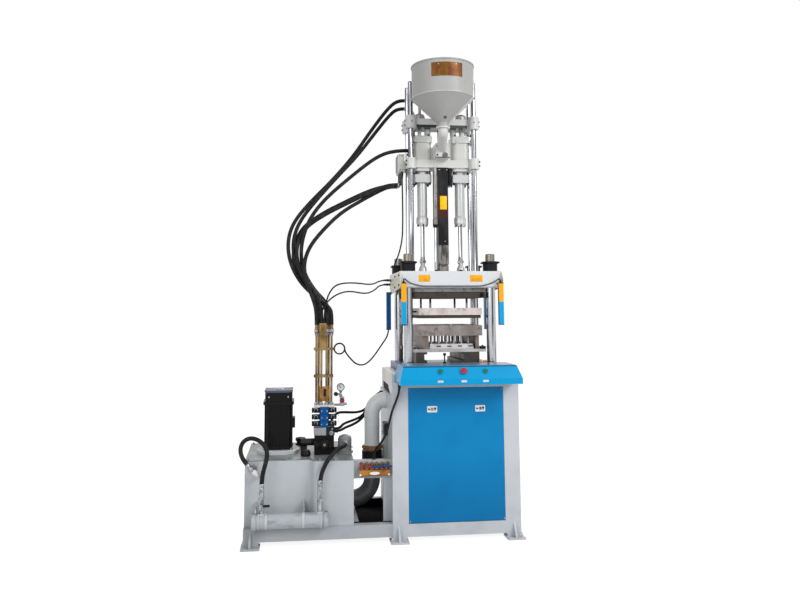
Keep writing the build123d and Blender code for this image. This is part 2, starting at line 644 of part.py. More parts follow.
def shift_cylinders():
    """The two shift cylinders under the carriage, with flange, tube and gland, and the sensor tube."""
    pieces = []
    bore = SHIFT_BORE_R
    rod_hole = SHIFT_ROD_R + SLIDE_FIT
    flange_width, flange_depth = SHIFT_FLANGE_SIZE
    for x in (-SHIFT_X, SHIFT_X):
        tube = turned(x, UNIT_Y, [
            (rod_hole, SHIFT_GLAND_BOTTOM), (SHIFT_TUBE_R, SHIFT_GLAND_BOTTOM),
            (SHIFT_GLAND_R, SHIFT_GLAND_BOTTOM + 22), (SHIFT_GLAND_R, SHIFT_TUBE_BOTTOM - 12),
            (SHIFT_TUBE_R, SHIFT_TUBE_BOTTOM), (SHIFT_TUBE_R, SHIFT_FLANGE_BOTTOM + 1),
            (bore, SHIFT_FLANGE_BOTTOM + 1), (bore, SHIFT_TUBE_BOTTOM), (rod_hole, SHIFT_TUBE_BOTTOM - 10),
        ])
        flange = rounded(x, UNIT_Y, flange_width, flange_depth, SHIFT_FLANGE_BOTTOM, SHIFT_FLANGE_TOP, 10)
        neck = post(x, UNIT_Y, SHIFT_FLANGE_TOP, CARRIAGE_BOTTOM, SHIFT_TUBE_R + 2)
        cap = flange + neck
        cap -= post(x, UNIT_Y, SHIFT_FLANGE_BOTTOM - 1, SHIFT_ROD_TOP + 18, bore)
        pieces.append(tube + cap)
    foot_z = WEB_BOTTOM - SENSOR_TUBE_LENGTH
    collar_top = foot_z + 35
    sensor_hole = SENSOR_ROD_R + LOOSE / 2
    sensor = turned(-SENSOR_X, SENSOR_Y, [
        (sensor_hole, foot_z), (SENSOR_TUBE_R + 2, foot_z), (SENSOR_TUBE_R + 2, collar_top),
        (SENSOR_TUBE_R, collar_top + 4), (SENSOR_TUBE_R, WEB_BOTTOM), (0, WEB_BOTTOM), (0, SHIFT_FLANGE_TOP),
        (sensor_hole, SHIFT_FLANGE_TOP),
    ])
    pieces.append(sensor)
    return pieces


def carriage_casting():
    """Cast injection carriage: four guide bosses, a web and two injection cylinders with their heads."""
    web_depth = 2 * GUIDE_DY
    web = rounded(0, UNIT_Y, 2 * GUIDE_X, web_depth, WEB_BOTTOM, WEB_TOP, WEB_CORNER)
    lug = block(BOX_FACE_X, -GUIDE_X + 20, UNIT_Y - 26, UNIT_Y + 26, WEB_BOTTOM + 5, WEB_TOP - 5)
    rear = block(
        RISERS[1][0] - 25, RISERS[0][0] + 30, UNIT_Y + GUIDE_DY - 10, RISER_Y + 20, WEB_BOTTOM, WEB_TOP,
    )
    body = web + lug + rear
    for x, y in GUIDES:
        body += post(x, y, BOSS_BOTTOM, BOSS_TOP, BOSS_R)
    for x in (-SHIFT_X, SHIFT_X):
        body += rounded(
            x, UNIT_Y, CYLINDER_WIDTH, CYLINDER_WIDTH, CARRIAGE_BOTTOM, CYLINDER_TOP, CYLINDER_CORNER,
        )
    for x, y in GUIDES:
        body -= post(x, y, BOSS_BOTTOM - 1, BOSS_TOP + 1, GUIDE_R + SLIDE_FIT)
    pieces = []
    for x in (-INJECTION_X, INJECTION_X):
        body -= post(x, UNIT_Y, WEB_BOTTOM, CYLINDER_TOP + 1, INJECTION_BORE_R)
    body -= post(0, UNIT_Y, CARRIAGE_BOTTOM - 1, WEB_TOP + 1, BARREL_R + SEAT_FIT)
    pieces.append(body)
    for side in (-1, 1):
        size = CYLINDER_WIDTH + 4
        head = rounded(side * SHIFT_X, UNIT_Y, size, size, CYLINDER_TOP, CYLINDER_HEAD_TOP, 12)
        head = chamfer(head.edges().group_by(Axis.Z)[-1], 4)
        rod_hole = INJECTION_ROD_R + SLIDE_FIT
        hole = post(side * INJECTION_X, UNIT_Y, CYLINDER_TOP - 1, CYLINDER_HEAD_TOP + 1, rod_hole)
        pieces.append(head - hole)
    return pieces


def barrel():
    """Plasticising barrel and the nozzle screwed onto its end."""
    tube = turned(0, UNIT_Y, [
        (BARREL_BORE_R, BARREL_BOTTOM), (BARREL_R, BARREL_BOTTOM),
        (BARREL_R, WEB_TOP), (BARREL_BORE_R, WEB_TOP),
    ])
    tip = HEAD_TOP + REST_GAP
    nozzle = turned(0, UNIT_Y, [
        (5, tip), (16, tip), (26, tip + 14), (NOZZLE_R, tip + 16), (NOZZLE_R, BARREL_BOTTOM - 2),
        (NOZZLE_R - 2, BARREL_BOTTOM), (BARREL_BORE_R, BARREL_BOTTOM), (5, BARREL_BOTTOM - 18),
    ])
    return [tube, nozzle]


def barrel_cover():
    """Folded sheet cover round the front of the barrel."""
    half, sheet = COVER_HALF_X, COVER_SHEET
    outer = block(-half, half, COVER_FRONT_Y, COVER_REAR_Y, BARREL_BOTTOM, WEB_BOTTOM)
    edges = outer.edges().filter_by(Axis.Z).group_by(Axis.Y)[0]
    outer = fillet(edges, 2 * sheet)
    inner = block(
        -half + sheet, half - sheet,
        COVER_FRONT_Y + sheet, COVER_REAR_Y + 1,
        BARREL_BOTTOM - 1, WEB_BOTTOM + 1,
    )
    return [outer - inner]


def feed_chute():
    """Feed block on the barrel's upper end and the slanting chute from the hopper."""
    body = block(HOPPER_X - 22, BARREL_R + 5, FEED_FRONT_Y, UNIT_Y + 35, WEB_TOP, WEB_TOP + FEED_HEIGHT)
    body = chamfer(body.edges().filter_by(Axis.Z), 4)
    body -= post(0, UNIT_Y, WEB_TOP - 1, WEB_TOP + FEED_HEIGHT + 1, BARREL_BORE_R)
    collar = post(HOPPER_X, HOPPER_Y, HOPPER_OUTLET - 8, HOPPER_OUTLET, HOPPER_OUTLET_R)
    top = Vector(HOPPER_X, HOPPER_Y, HOPPER_OUTLET - 8)
    knee = Vector(HOPPER_X, HOPPER_Y, HOPPER_OUTLET - 34)
    end = Vector(HOPPER_X + 26, FEED_FRONT_Y + 30, WEB_TOP + CHUTE_MOUTH_RISE)
    path = FilletPolyline(top, knee, end, radius=20)
    chute = sweep(Plane(origin=path @ 0, z_dir=path % 0) * Circle(CHUTE_R), path=path)
    chute -= block(-200, 200, FEED_FRONT_Y, 100, WEB_TOP - 100, WEB_TOP + 300)
    return [body, collar + chute]


def hopper():
    """Spun steel hopper with a rolled rim and a flanged outlet."""
    w = HOPPER_WALL
    body = turned(HOPPER_X, HOPPER_Y, [
        (HOPPER_OUTLET_R - 12, HOPPER_OUTLET), (HOPPER_OUTLET_R, HOPPER_OUTLET),
        (HOPPER_OUTLET_R, HOPPER_OUTLET + 8), (HOPPER_OUTLET_R - 8, HOPPER_OUTLET + 8),
        (HOPPER_OUTLET_R - 8, HOPPER_CONE_BOTTOM - 6),
        (HOPPER_R, HOPPER_CONE_TOP), (HOPPER_R, HOPPER_TOP - 8), (HOPPER_R + HOPPER_RIM, HOPPER_TOP - 8),
        (HOPPER_R + HOPPER_RIM, HOPPER_TOP), (HOPPER_R - w, HOPPER_TOP), (HOPPER_R - w, HOPPER_CONE_TOP + 1),
        (HOPPER_OUTLET_R - 12, HOPPER_CONE_BOTTOM - 6),
    ])
    return [body]


def junction_box():
    """Port box on the carriage's left with three elbows under it."""
    body = block(BOX_LEFT_X, BOX_FACE_X, UNIT_Y - BOX_DEPTH[0], UNIT_Y + BOX_DEPTH[1], BOX_BOTTOM, BOX_TOP)
    body = chamfer(body.edges().filter_by(Axis.Y).group_by(Axis.X)[0], 5)
    pieces = [body]
    for y in PORT_Y:
        elbow = [(PORT_X, y, BOX_BOTTOM), (PORT_X, y, PORT_Z), (BOX_LEFT_X, y, PORT_Z)]
        pieces.append(pipe(elbow, PORT_R, 16))
    pieces.append(post(CABLE_GLAND[0], CABLE_GLAND[1], BOX_BOTTOM - 14, BOX_BOTTOM, CABLE_GLAND_R))
    return pieces


def riser_pipes():
    """Two steel pipes that carry oil from the carriage up behind the guide bars."""
    y = RISER_Y
    pipes = []
    for x, rise, end_x in RISERS:
        top = WEB_TOP + rise
        pipes.append(pipe([(x, y, WEB_TOP), (x, y, top), (end_x, y, top)], RISER_R, 5 * RISER_R))
    side_port = rod_x(
        SIDE_PORT_END_X, -SHIFT_X - CYLINDER_WIDTH / 2, UNIT_Y, WEB_TOP + SIDE_PORT_RISE, RISER_R + 1,
    )
    return pipes + [side_port]


def crosshead():
    """Crosshead casting on the guide bars, and its two rubber-tipped stops."""
    body = rounded(0, UNIT_Y, 2 * GUIDE_X, 2 * GUIDE_DY - 20, BEAM_BOTTOM, BEAM_TOP, 24)
    for x, y in GUIDES:
        body += post(x, y, CROSSHEAD_BOTTOM, CROSSHEAD_TOP, BOSS_R)
    body += post(0, UNIT_Y, BEAM_TOP, BEAM_TOP + 8, 52)
    for x, y in GUIDES:
        body -= post(x, y, CROSSHEAD_BOTTOM - 1, CROSSHEAD_TOP + 1, GUIDE_R + SLIDE_FIT)
    for x in (-INJECTION_X, INJECTION_X):
        body -= post(x, UNIT_Y, BEAM_BOTTOM - 1, BEAM_TOP + 1, INJECTION_ROD_R + SEAT_FIT)
    body -= post(0, UNIT_Y, BEAM_BOTTOM - 1, BEAM_TOP + 9, SCREW_R + SEAT_FIT)
    pieces = [body]
    rubber_bottom = CYLINDER_HEAD_TOP + REST_GAP
    for x in (-STOP_X, STOP_X):
        pieces.append(post(x, UNIT_Y, rubber_bottom + STOP_RUBBER, BEAM_BOTTOM, STOP_R))
        pieces.append(post(x, UNIT_Y, rubber_bottom, rubber_bottom + STOP_RUBBER, STOP_R - 2))
    return pieces


def injection_rods():
    """Injection piston rods with their pistons and the domed nuts on the crosshead."""
    pieces = []
    piston = WEB_BOTTOM + REST_GAP
    for x in (-INJECTION_X, INJECTION_X):
        pieces.append(turned(x, UNIT_Y, [
            (0, piston), (INJECTION_BORE_R - SLIDE_FIT, piston), (INJECTION_BORE_R - SLIDE_FIT, piston + 16),
            (INJECTION_ROD_R, piston + 16), (INJECTION_ROD_R, BEAM_TOP), (0, BEAM_TOP),
        ]))
        pieces.append(turned(x, UNIT_Y, [
            (0, BEAM_TOP), (38, BEAM_TOP), (38, BEAM_TOP + 26), (33, BEAM_TOP + 38), (20, BEAM_TOP + 46),
            (0, BEAM_TOP + 48),
        ]))
    return pieces


def screw_motor():
    """Screw with its hydraulic motor on top of the crosshead."""
    screw = turned(0, UNIT_Y, [
        (0, BARREL_BOTTOM + 22), (SCREW_R - 6, BARREL_BOTTOM + 30), (SCREW_R, BARREL_BOTTOM + 60),
        (SCREW_R, BEAM_TOP + 8), (0, BEAM_TOP + 8),
    ])
    foot_z = BEAM_TOP + 8
    flange = rounded(0, UNIT_Y, 104, 104, foot_z, foot_z + 22, 14)
    body = flange + post(0, UNIT_Y, foot_z + 22, foot_z + 150, 45)
    body += rod_x(-62, 62, UNIT_Y, foot_z + 118, 15)
    return [screw, body]


def moving_platen():
    """Moving platen that the ram lifts, guided on the four tie bars."""
    bottom = BED_TOP + REST_GAP
    body = block(-TABLE_HALF_X, TABLE_HALF_X, -HEAD_HALF_Y, HEAD_HALF_Y, bottom, TABLE_TOP)
    body = chamfer(body.edges().filter_by(Axis.Z), 10)
    for x, y in TIES:
        body -= post(x, y, bottom - 1, TABLE_TOP + 1, TIE_R + SLIDE_FIT)
    return [body]


def bolster():
    """Riser blocks on the moving platen, the bolster plate and the spacer blocks on it."""
    left = block(-222, -150, -PLATE_HALF_Y + 20, PLATE_HALF_Y - 20, TABLE_TOP, RISER_TOP)
    right = block(70, 190, -PLATE_HALF_Y + 20, PLATE_HALF_Y - 20, TABLE_TOP, RISER_TOP)
    left -= block(-150 - 18, -149, -300, 300, TABLE_TOP + 30, RISER_TOP - 14)
    right -= block(69, 88, -300, 300, TABLE_TOP + 30, RISER_TOP - 14)
    plate_y = PLATE_HALF_Y - 10
    plate = block(-BOLSTER_HALF_X, BOLSTER_HALF_X, -plate_y, plate_y, RISER_TOP, BOLSTER_TOP)
    spacers = [
        block(-174, -138, -PLATE_HALF_Y + 30, PLATE_HALF_Y - 30, BOLSTER_TOP, SPACER_TOP),
        block(168, 190, -PLATE_HALF_Y + 30, PLATE_HALF_Y - 30, BOLSTER_TOP, SPACER_TOP),
    ]
    return [left, right, plate] + spacers


def pin_places():
    """Where the ejector pins stand."""
    return [(x, y) for x in (-110, -60, -10, 40, 90, 136) for y in (-150, 0, 150)]


def lower_plate():
    """Lower heating plate with bores for the ejector pins and for its heating rods."""
    body = block(-PLATE_HALF_X, PLATE_HALF_X, -PLATE_HALF_Y, PLATE_HALF_Y, SPACER_TOP, LOWER_TOP)
    for x, y in pin_places():
        body -= post(x, y, SPACER_TOP - 1, LOWER_TOP + 1, PIN_R + REST_GAP)
    return [body]


def ejector_set():
    """Ejector plates with their pins, resting on the bolster plate."""
    bottom = BOLSTER_TOP + REST_GAP
    half = EJECTOR_THICK / 2
    lower = block(-130, 160, -EJECTOR_HALF_Y, EJECTOR_HALF_Y, bottom, bottom + half)
    upper = block(-126, 156, -EJECTOR_HALF_Y + 6, EJECTOR_HALF_Y - 6, bottom + half, bottom + EJECTOR_THICK)
    pieces = [lower, upper]
    for x, y in pin_places():
        pieces.append(post(x, y, bottom + EJECTOR_THICK, LOWER_TOP - PIN_RECESS, PIN_R))
    return pieces


def hanger_places():
    """Where the hanger rods of the middle plate stand."""
    return [(x, y) for x in (-HANGER_X, HANGER_X) for y in (-HANGER_Y, HANGER_Y)]


def middle_plate():
    """Middle heating plate with its insulating board, hanging on the four rods."""
    board_top = MIDDLE_BOTTOM + INSULATION
    plate = block(-PLATE_HALF_X, PLATE_HALF_X, -PLATE_HALF_Y, PLATE_HALF_Y, board_top, MIDDLE_TOP)
    board_x, board_y = PLATE_HALF_X - 6, PLATE_HALF_Y - 8
    board = block(-board_x, board_x, -board_y, board_y, MIDDLE_BOTTOM, board_top)
    for x, y in hanger_places():
        plate -= post(x, y, board_top - 1, MIDDLE_TOP + 1, HANGER_R + SLIDE_FIT)
        board -= post(x, y, MIDDLE_BOTTOM - 1, board_top + 1, HANGER_R + 12)
    return [plate, board]


def upper_plate():
    """Upper heating plate with its mould land and insulating board, the hanger rods screwed into it."""
    half_x, half_y = BOLSTER_HALF_X, PLATE_HALF_Y
    under = UPPER_BOTTOM + MOULD_LAND_STEP
    plate = block(-half_x, half_x, -half_y, half_y, under, UPPER_TOP)
    plate += block(-MOULD_LAND_HALF_X, MOULD_LAND_HALF_X, -half_y, half_y, UPPER_BOTTOM, under)
    board = block(-half_x + 4, half_x - 4, -half_y + 4, half_y - 4, UPPER_TOP, HEAD_BOTTOM)
    pieces = [plate, board]
    head_top = MIDDLE_BOTTOM + INSULATION - REST_GAP
    for x, y in hanger_places():
        pieces.append(turned(x, y, [
            (0, head_top - 12), (11, head_top - 12), (11, head_top), (HANGER_R, head_top), (HANGER_R, under),
            (0, under),
        ]))
    return pieces


def console_frame(x):
    """The plane of the console's sloping front at X, with its normal out of the front."""
    share = (BUTTON_Z - CONSOLE_BAND_TOP) / (CONSOLE_TOP - CONSOLE_BAND_TOP)
    y = CONSOLE_FRONT_Y + CONSOLE_SLOPE * share
    rise = CONSOLE_TOP - CONSOLE_BAND_TOP
    return Plane(origin=(x, y, BUTTON_Z), x_dir=(1, 0, 0), z_dir=(0, -rise, CONSOLE_SLOPE))


def stem_radius(index):
    """The middle button's mushroom stands on a thinner stem."""
    return STOP_STEM_R if index == 1 else BUTTON_R


def console():
    """Folded console with sloping sides and front, its worktop sheet and the button bezels."""
    half, front, slope = CONSOLE_HALF_X, CONSOLE_FRONT_Y, CONSOLE_SLOPE
    high_half = half - CONSOLE_SIDE_SLOPE
    rear = BASE_FRONT_Y + BASE_FRONT_DEPTH
    depth = rear - front
    low = Pos(0, (front + rear) / 2, 0) * Rectangle(2 * half, depth)
    high = Pos(0, (front + slope + rear) / 2, 0) * Rectangle(2 * high_half, depth - slope)

    def body(inset):
        """The console's outer form, drawn in by the sheet's thickness."""
        lower = offset(low, -inset) if inset else low
        upper = offset(high, -inset) if inset else high
        band = extrude(Pos(0, 0, CONSOLE_BOTTOM) * lower, CONSOLE_BAND_TOP - CONSOLE_BOTTOM)
        sections = [Pos(0, 0, CONSOLE_BAND_TOP) * lower.face(), Pos(0, 0, CONSOLE_TOP - inset) * upper.face()]
        return band + loft(sections)

    shell = body(0) - body(CONSOLE_WALL)
    lip_top = CONSOLE_BOTTOM + CONSOLE_WALL
    shell += block(-half + 1, half - 1, front + 1, front + 26, CONSOLE_BOTTOM, lip_top)
    pieces = []
    for index, x in enumerate(BUTTON_X):
        place = console_frame(x)
        stem = stem_radius(index)
        shell -= place * Pos(0, 0, -10) * Cylinder(stem + SLIDE_FIT, 40)
        bezel = Pos(0, 0, 2) * Cylinder(stem + 5, 4) - Cylinder(stem + SLIDE_FIT, 20)
        pieces.append(place * bezel)
    top = block(-high_half + 5, high_half - 5, front + slope + 4, rear - 2, CONSOLE_TOP, CONSOLE_TOP + 3)
    return [shell, top] + pieces


def button(index):
    """A push button with its plunger through the console's sloping front."""
    stem = stem_radius(index)
    profile = [(0, -14), (stem, -14), (stem, 8), (stem - 2, 10), (0, 10)]
    if index == 1:
        cap = STOP_BUTTON_R
        profile = [(0, -14), (stem, -14), (stem, 9), (cap - 1, 10), (cap, 13), (cap - 4, 16), (0, 17)]
    outline = make_face(Polyline([(r, 0, z) for r, z in profile], close=True))
    return [console_frame(BUTTON_X[index]) * revolve(outline, Axis.Z)]


def front_panel():
    """Removable pan-shaped front panel on two lower pins, with a plate round each lock."""
    y0 = BASE_FRONT_Y
    z0 = BASE_RAIL_TOP + PANEL_GAP
    body = block(-PANEL_HALF_X, PANEL_HALF_X, y0, y0 + PANEL_DEPTH, z0, PANEL_TOP)
    body -= block(
        -PANEL_HALF_X + PANEL_SHEET, PANEL_HALF_X - PANEL_SHEET, y0 + PANEL_SHEET, y0 + PANEL_DEPTH + 1,
        z0 + PANEL_SHEET, PANEL_TOP - PANEL_SHEET,
    )
    for side in (-1, 1):
        body -= rod_y(side * LOCK_X, y0 - 1, y0 + PANEL_SHEET + 1, LOCK_Z, LOCK_R + REST_GAP)
    hinge_edge = body.edges().filter_by(Axis.X).sort_by(lambda e: e.center().Y + e.center().Z)[0]
    body = fillet(hinge_edge, PANEL_PIVOT)
    pieces = []
    for side in (-1, 1):
        plate = block(side * LOCK_X - 31, side * LOCK_X + 31, y0 - 4, y0, LOCK_Z - 19, LOCK_Z + 19)
        plate = fillet(plate.edges().filter_by(Axis.Y), 5)
        pieces.append(plate - rod_y(side * LOCK_X, y0 - 5, y0 + 1, LOCK_Z, LOCK_R + REST_GAP))
        inner_x = PANEL_HALF_X - PANEL_SHEET
        pin = rod_x(inner_x, PANEL_HALF_X + 8, y0 + PANEL_PIVOT, z0 + PANEL_PIVOT, PANEL_PIN_R)
        body += pin if side > 0 else mirror(pin, Plane.YZ)
    return [body] + pieces


def panel_lock(side):
    """A quarter-turn lock: key barrel through the panel with its cam behind the opening's edge."""
    y0 = BASE_FRONT_Y
    x = side * LOCK_X
    cylinder = rod_y(x, y0 - 6, y0 + 26, LOCK_Z, LOCK_R)
    cylinder -= block(x - 1.2, x + 1.2, y0 - 7, y0 - 3, LOCK_Z - 6, LOCK_Z + 6)
    cam = block(x - 8, x + 8, y0 + 20, y0 + 24, LOCK_Z - 10, LOCK_Z + 34)
    return [cylinder + cam]


def tank_outline(inset):
    """The tank's plan, its front stepped forward on the right by a smooth double bend."""
    left, right = SKID_LEFT_X + inset, TANK_RIGHT_X - inset
    rear = TANK_REAR_Y - inset
    y_left, y_right = TANK_FRONT_LEFT_Y + inset, TANK_FRONT_RIGHT_Y + inset
    step_end = TANK_STEP_X + TANK_STEP_WIDTH
    bend = Spline((TANK_STEP_X, y_left), (step_end, y_right), tangents=((1, 0), (1, 0)))
    edges = [
        Line((left, y_left), (TANK_STEP_X, y_left)), bend, Line((step_end, y_right), (right, y_right)),
        Line((right, y_right), (right, rear)), Line((right, rear), (left, rear)),
        Line((left, rear), (left, y_left)),
    ]
    return make_face(edges)


def oil_tank():
    """Oil tank with its lid and the return filter's cap on the lid."""
    body = Pos(0, 0, SKID_TOP) * extrude(tank_outline(0), TANK_TOP - SKID_TOP)
    body -= Pos(0, 0, SKID_TOP + 6) * extrude(tank_outline(6), TANK_TOP - SKID_TOP)
    body -= rod_x(TANK_RIGHT_X - 8, TANK_RIGHT_X + 1, 0, RETURN_Z, RETURN_R - 5)
    lid = Pos(0, 0, TANK_TOP) * extrude(tank_outline(0), LID_THICK)
    lid -= post(MOTOR_X, MOTOR_Y, TANK_TOP - 1, LID_TOP + 1, MOTOR_FLANGE_R - 25)
    cap = turned(FILTER_X, FILTER_Y, [
        (0, LID_TOP), (52, LID_TOP), (52, LID_TOP + 12), (43, LID_TOP + 14), (43, LID_TOP + 88),
        (36, LID_TOP + 102), (18, LID_TOP + 110), (0, LID_TOP + 112),
    ])
    cap += rod_y(FILTER_X, FILTER_PORT_Y, FILTER_Y, FILTER_PORT_Z, 15)
    start, end = Vector(*INLET), Vector(*INLET_END)
    inlet = pipe([(INLET[0], TANK_FRONT_LEFT_Y, INLET[2]), start, end], 12, 14)
    along = (end - start).normalized()
    inlet += Plane(origin=end - along * 13, z_dir=along) * Cylinder(15, 26)
    return [body, lid, cap, inlet]


def pump_motor():
    """Flange-mounted electric motor with cooling fins, fan cowl and terminal box."""
    flange = turned(MOTOR_X, MOTOR_Y, [
        (0, LID_TOP), (MOTOR_FLANGE_R, LID_TOP), (MOTOR_FLANGE_R, LID_TOP + 16),
        (MOTOR_FLANGE_R - 8, LID_TOP + 22), (0, LID_TOP + 22),
    ])
    foot_z = LID_TOP + 22
    fin_foot, fin_top = foot_z + 24, MOTOR_TOP - 90
    wide = 2 * MOTOR_HALF
    plan = RectangleRounded(wide - 20, wide - 20, 16)
    for turn in range(4):
        for step in range(-3, 4):
            plan += Rot(0, 0, 90 * turn) * Pos(step * 21, MOTOR_HALF - 7) * Rectangle(7, 14)
    fins = Pos(MOTOR_X, MOTOR_Y, fin_foot) * extrude(plan, fin_top - fin_foot)
    low = rounded(MOTOR_X, MOTOR_Y, wide, wide, foot_z, fin_foot, 18)
    collar = rounded(MOTOR_X, MOTOR_Y, wide + 16, wide + 16, fin_top, fin_top + 20, 22)
    cowl = rounded(MOTOR_X, MOTOR_Y, wide - 4, wide - 4, fin_top + 20, MOTOR_TOP - 10, 30)
    cowl += rounded(MOTOR_X, MOTOR_Y, wide + 2, wide + 2, MOTOR_TOP - 10, MOTOR_TOP, 20)
    side = MOTOR_X + MOTOR_HALF
    box = block(side, side + 16, MOTOR_Y - 40, MOTOR_Y + 40, LID_TOP + 150, LID_TOP + 214)
    return [flange, low + fins + collar + cowl, box]


def oil_cooler():
    """Tube cooler across the tank's front, with end covers, ports and two brackets."""
    left, right = COOLER_LEFT_X, COOLER_RIGHT_X
    shell = rod_x(left + COOLER_COVER, right - COOLER_COVER, COOLER_Y, COOLER_Z, COOLER_R)
    for x in COOLER_PORTS_X:
        shell += post(x, COOLER_Y, COOLER_Z, COOLER_PORT_TOP, COOLER_HOSE_R)
    covers = []
    for outer in (left, right - COOLER_COVER):
        cover = rod_x(outer, outer + COOLER_COVER, COOLER_Y, COOLER_Z, COOLER_R + 6)
        covers.append(chamfer(cover.edges().filter_by(GeomType.CIRCLE), 4))
    brackets = []
    face = TANK_FRONT_LEFT_Y
    for x in (left + 22, left + 302):
        outline = [
            (face, COOLER_Z - 30), (face, COOLER_Z + 95), (COOLER_Y + 20, COOLER_Z + 70), (COOLER_Y, COOLER_Z),
        ]
        plate = side_profile(outline, x - 3, x + 3)
        brackets.append(plate - rod_x(x - 4, x + 4, COOLER_Y, COOLER_Z, COOLER_R))
    valve_x, other_x = COOLER_PORTS_X
    valve_top = COOLER_PORT_TOP + VALVE_HEIGHT
    valve = post(valve_x, COOLER_Y, COOLER_PORT_TOP, valve_top, 15)
    valve += rod_y(valve_x, COOLER_Y - 26, COOLER_Y, COOLER_PORT_TOP + VALVE_HEIGHT / 2, 7)
    end = post(valve_x, COOLER_Y, valve_top, HOSE_FOOT_Z, 16)
    other_end = post(other_x, COOLER_Y, COOLER_PORT_TOP, OTHER_HOSE_FOOT_Z, 15)
    return [shell, valve, end, other_end] + covers + brackets


def lever(x, y, z, turn, length, thick=3.0):
    """A flat valve lever on a hub along Y; its turn is measured from upright."""
    hub = Rot(90, 0, 0) * Cylinder(5, thick)
    arm = Pos(0, 0, length / 2) * Box(6, thick, length)
    arm += Pos(0, 0, length) * Rot(90, 0, 0) * Cylinder(4, thick)
    return [Pos(x, y, z) * Rot(0, turn, 0) * (hub + arm)]


def cooler_lever():
    """Black lever of the cooler's ball valve."""
    return lever(COOLER_PORTS_X[0], COOLER_Y - 28 - REST_GAP, COOLER_PORT_TOP + VALVE_HEIGHT / 2, 90, 44, 4)


def valve_stack():
    """Hydraulic control block: base block, three solenoid valves, top fittings, gauge and pump line."""
    x0, x1 = STACK_X - STACK_HALF_X, STACK_X + STACK_HALF_X
    y0, y1 = STACK_Y - STACK_HALF_Y, STACK_Y + STACK_HALF_Y
    low = block(x0 + 4, x1 - 4, y0, y1, LID_TOP, STACK_LOW_TOP)
    low = chamfer(low.edges().filter_by(Axis.Z), 6)
    base = block(x0, x1, y0, y1, STACK_LOW_TOP, STACK_BASE_TOP)
    pieces = [low, base]
    sheet_z = STACK_TOP - STACK_SHEET
    height = (sheet_z - STACK_BASE_TOP) / 3
    body_half = 24
    coil_y = STACK_Y - 18
    for level in range(3):
        z = STACK_BASE_TOP + height * level
        body = block(STACK_X - body_half, STACK_X + body_half, y0 + 10, y1 - 10, z, z + height - 3)
        body += block(STACK_X - 30, STACK_X + 30, y0 + 20, y1 - 20, z + height - 3, z + height)
        pieces.append(body)
        coil = rod_x(body_half, body_half + COIL_LENGTH, coil_y, z + 20, COIL_R)
        coil += rod_x(body_half + COIL_LENGTH, body_half + COIL_LENGTH + 14, coil_y, z + 20, 9)
        pieces += [Pos(STACK_X, 0, 0) * coil, Pos(STACK_X, 0, 0) * mirror(coil, Plane.YZ)]
    pieces.append(block(x0, x1, y0 + 30, y1, sheet_z, STACK_TOP))
    for x, y in TUBES:
        ring = post(x, y, STACK_TOP, STACK_TOP + 16, TUBE_R + 3)
        pieces.append(ring - post(x, y, STACK_TOP - 1, STACK_TOP + 17, TUBE_R))
    line_x = GAUGE_X + 23
    line_top = STACK_TOP + 44
    gauge_line = block(x1, line_x, STACK_Y + 10, STACK_Y + 34, sheet_z, STACK_TOP)
    gauge_line += block(line_x - 28, line_x, STACK_Y - 12, STACK_Y + 34, sheet_z, line_top)
    gauge_line += post(GAUGE_X, STACK_Y, line_top, GAUGE_Z - 20, 6)
    gauge = rod_y(GAUGE_X, STACK_Y - 14, STACK_Y + 14, GAUGE_Z, GAUGE_R)
    pump_x = MOTOR_X + MOTOR_FLANGE_R + 5
    line_z = LID_TOP + 70
    pump_line = rod_x(pump_x, x0 + 4, STACK_Y, line_z, PUMP_LINE_R)
    pump_foot = block(pump_x, pump_x + 40, STACK_Y - 30, STACK_Y + 30, LID_TOP, line_z - PUMP_LINE_R)
    return pieces + [gauge_line, gauge, pump_line, pump_foot]


def relief_knob():
    """Red hand knob of the relief valve."""
    x = GAUGE_X + 9
    body = rod_y(x, STACK_Y - 40, STACK_Y - 24, STACK_TOP + 26, 14)
    body = fillet(body.edges().filter_by(GeomType.CIRCLE), 3)
    return [body + rod_y(x, STACK_Y - 24, STACK_Y - 12 - REST_GAP, STACK_TOP + 26, 6)]


def hard_tubes():
    """Six steel tubes from the control block up to the hose nuts, with their straps and cable holder."""
    pieces = []
    nut_foot = TUBE_TOP - TUBE_NUT
    for x, y in TUBES:
        pieces.append(post(x, y, STACK_TOP, nut_foot, TUBE_R))
        pieces.append(turned(x, y, [
            (0, nut_foot), (11, nut_foot), (12.5, nut_foot + 5), (12.5, TUBE_TOP - 22), (10, TUBE_TOP - 18),
            (10, TUBE_TOP), (0, TUBE_TOP),
        ]))
    strap_end = CABLE_RING[0] - CABLE_RING_R - CABLE_R - REST_GAP
    strap_front, strap_rear = TUBE_FRONT_Y - 11, TUBE_REAR_Y + 11
    for lift in STRAP_LIFTS:
        z = STACK_TOP + lift
        strap = block(TUBES[0][0] - 16, strap_end, strap_front, strap_rear, z, z + STRAP_HEIGHT)
        for x, y in TUBES:
            strap -= post(x, y, z - 1, z + STRAP_HEIGHT + 1, TUBE_R)
        pieces.append(strap)
    holder_z, holder_top = z, TUBE_TOP + 10
    x0, x1 = TUBES[0][0] + 18, TUBES[1][0] + 30
    holder = block(x0, x1, strap_front - 6, strap_front, holder_z, holder_z + STRAP_HEIGHT)
    holder += block(x0, x1, strap_front - 8, strap_front - 3, holder_z, holder_top)
    holder += block(x0, x1, HOLDER_FRONT_Y, strap_front - 3, holder_top - 8, holder_top)
    pieces.append(holder)
    return pieces


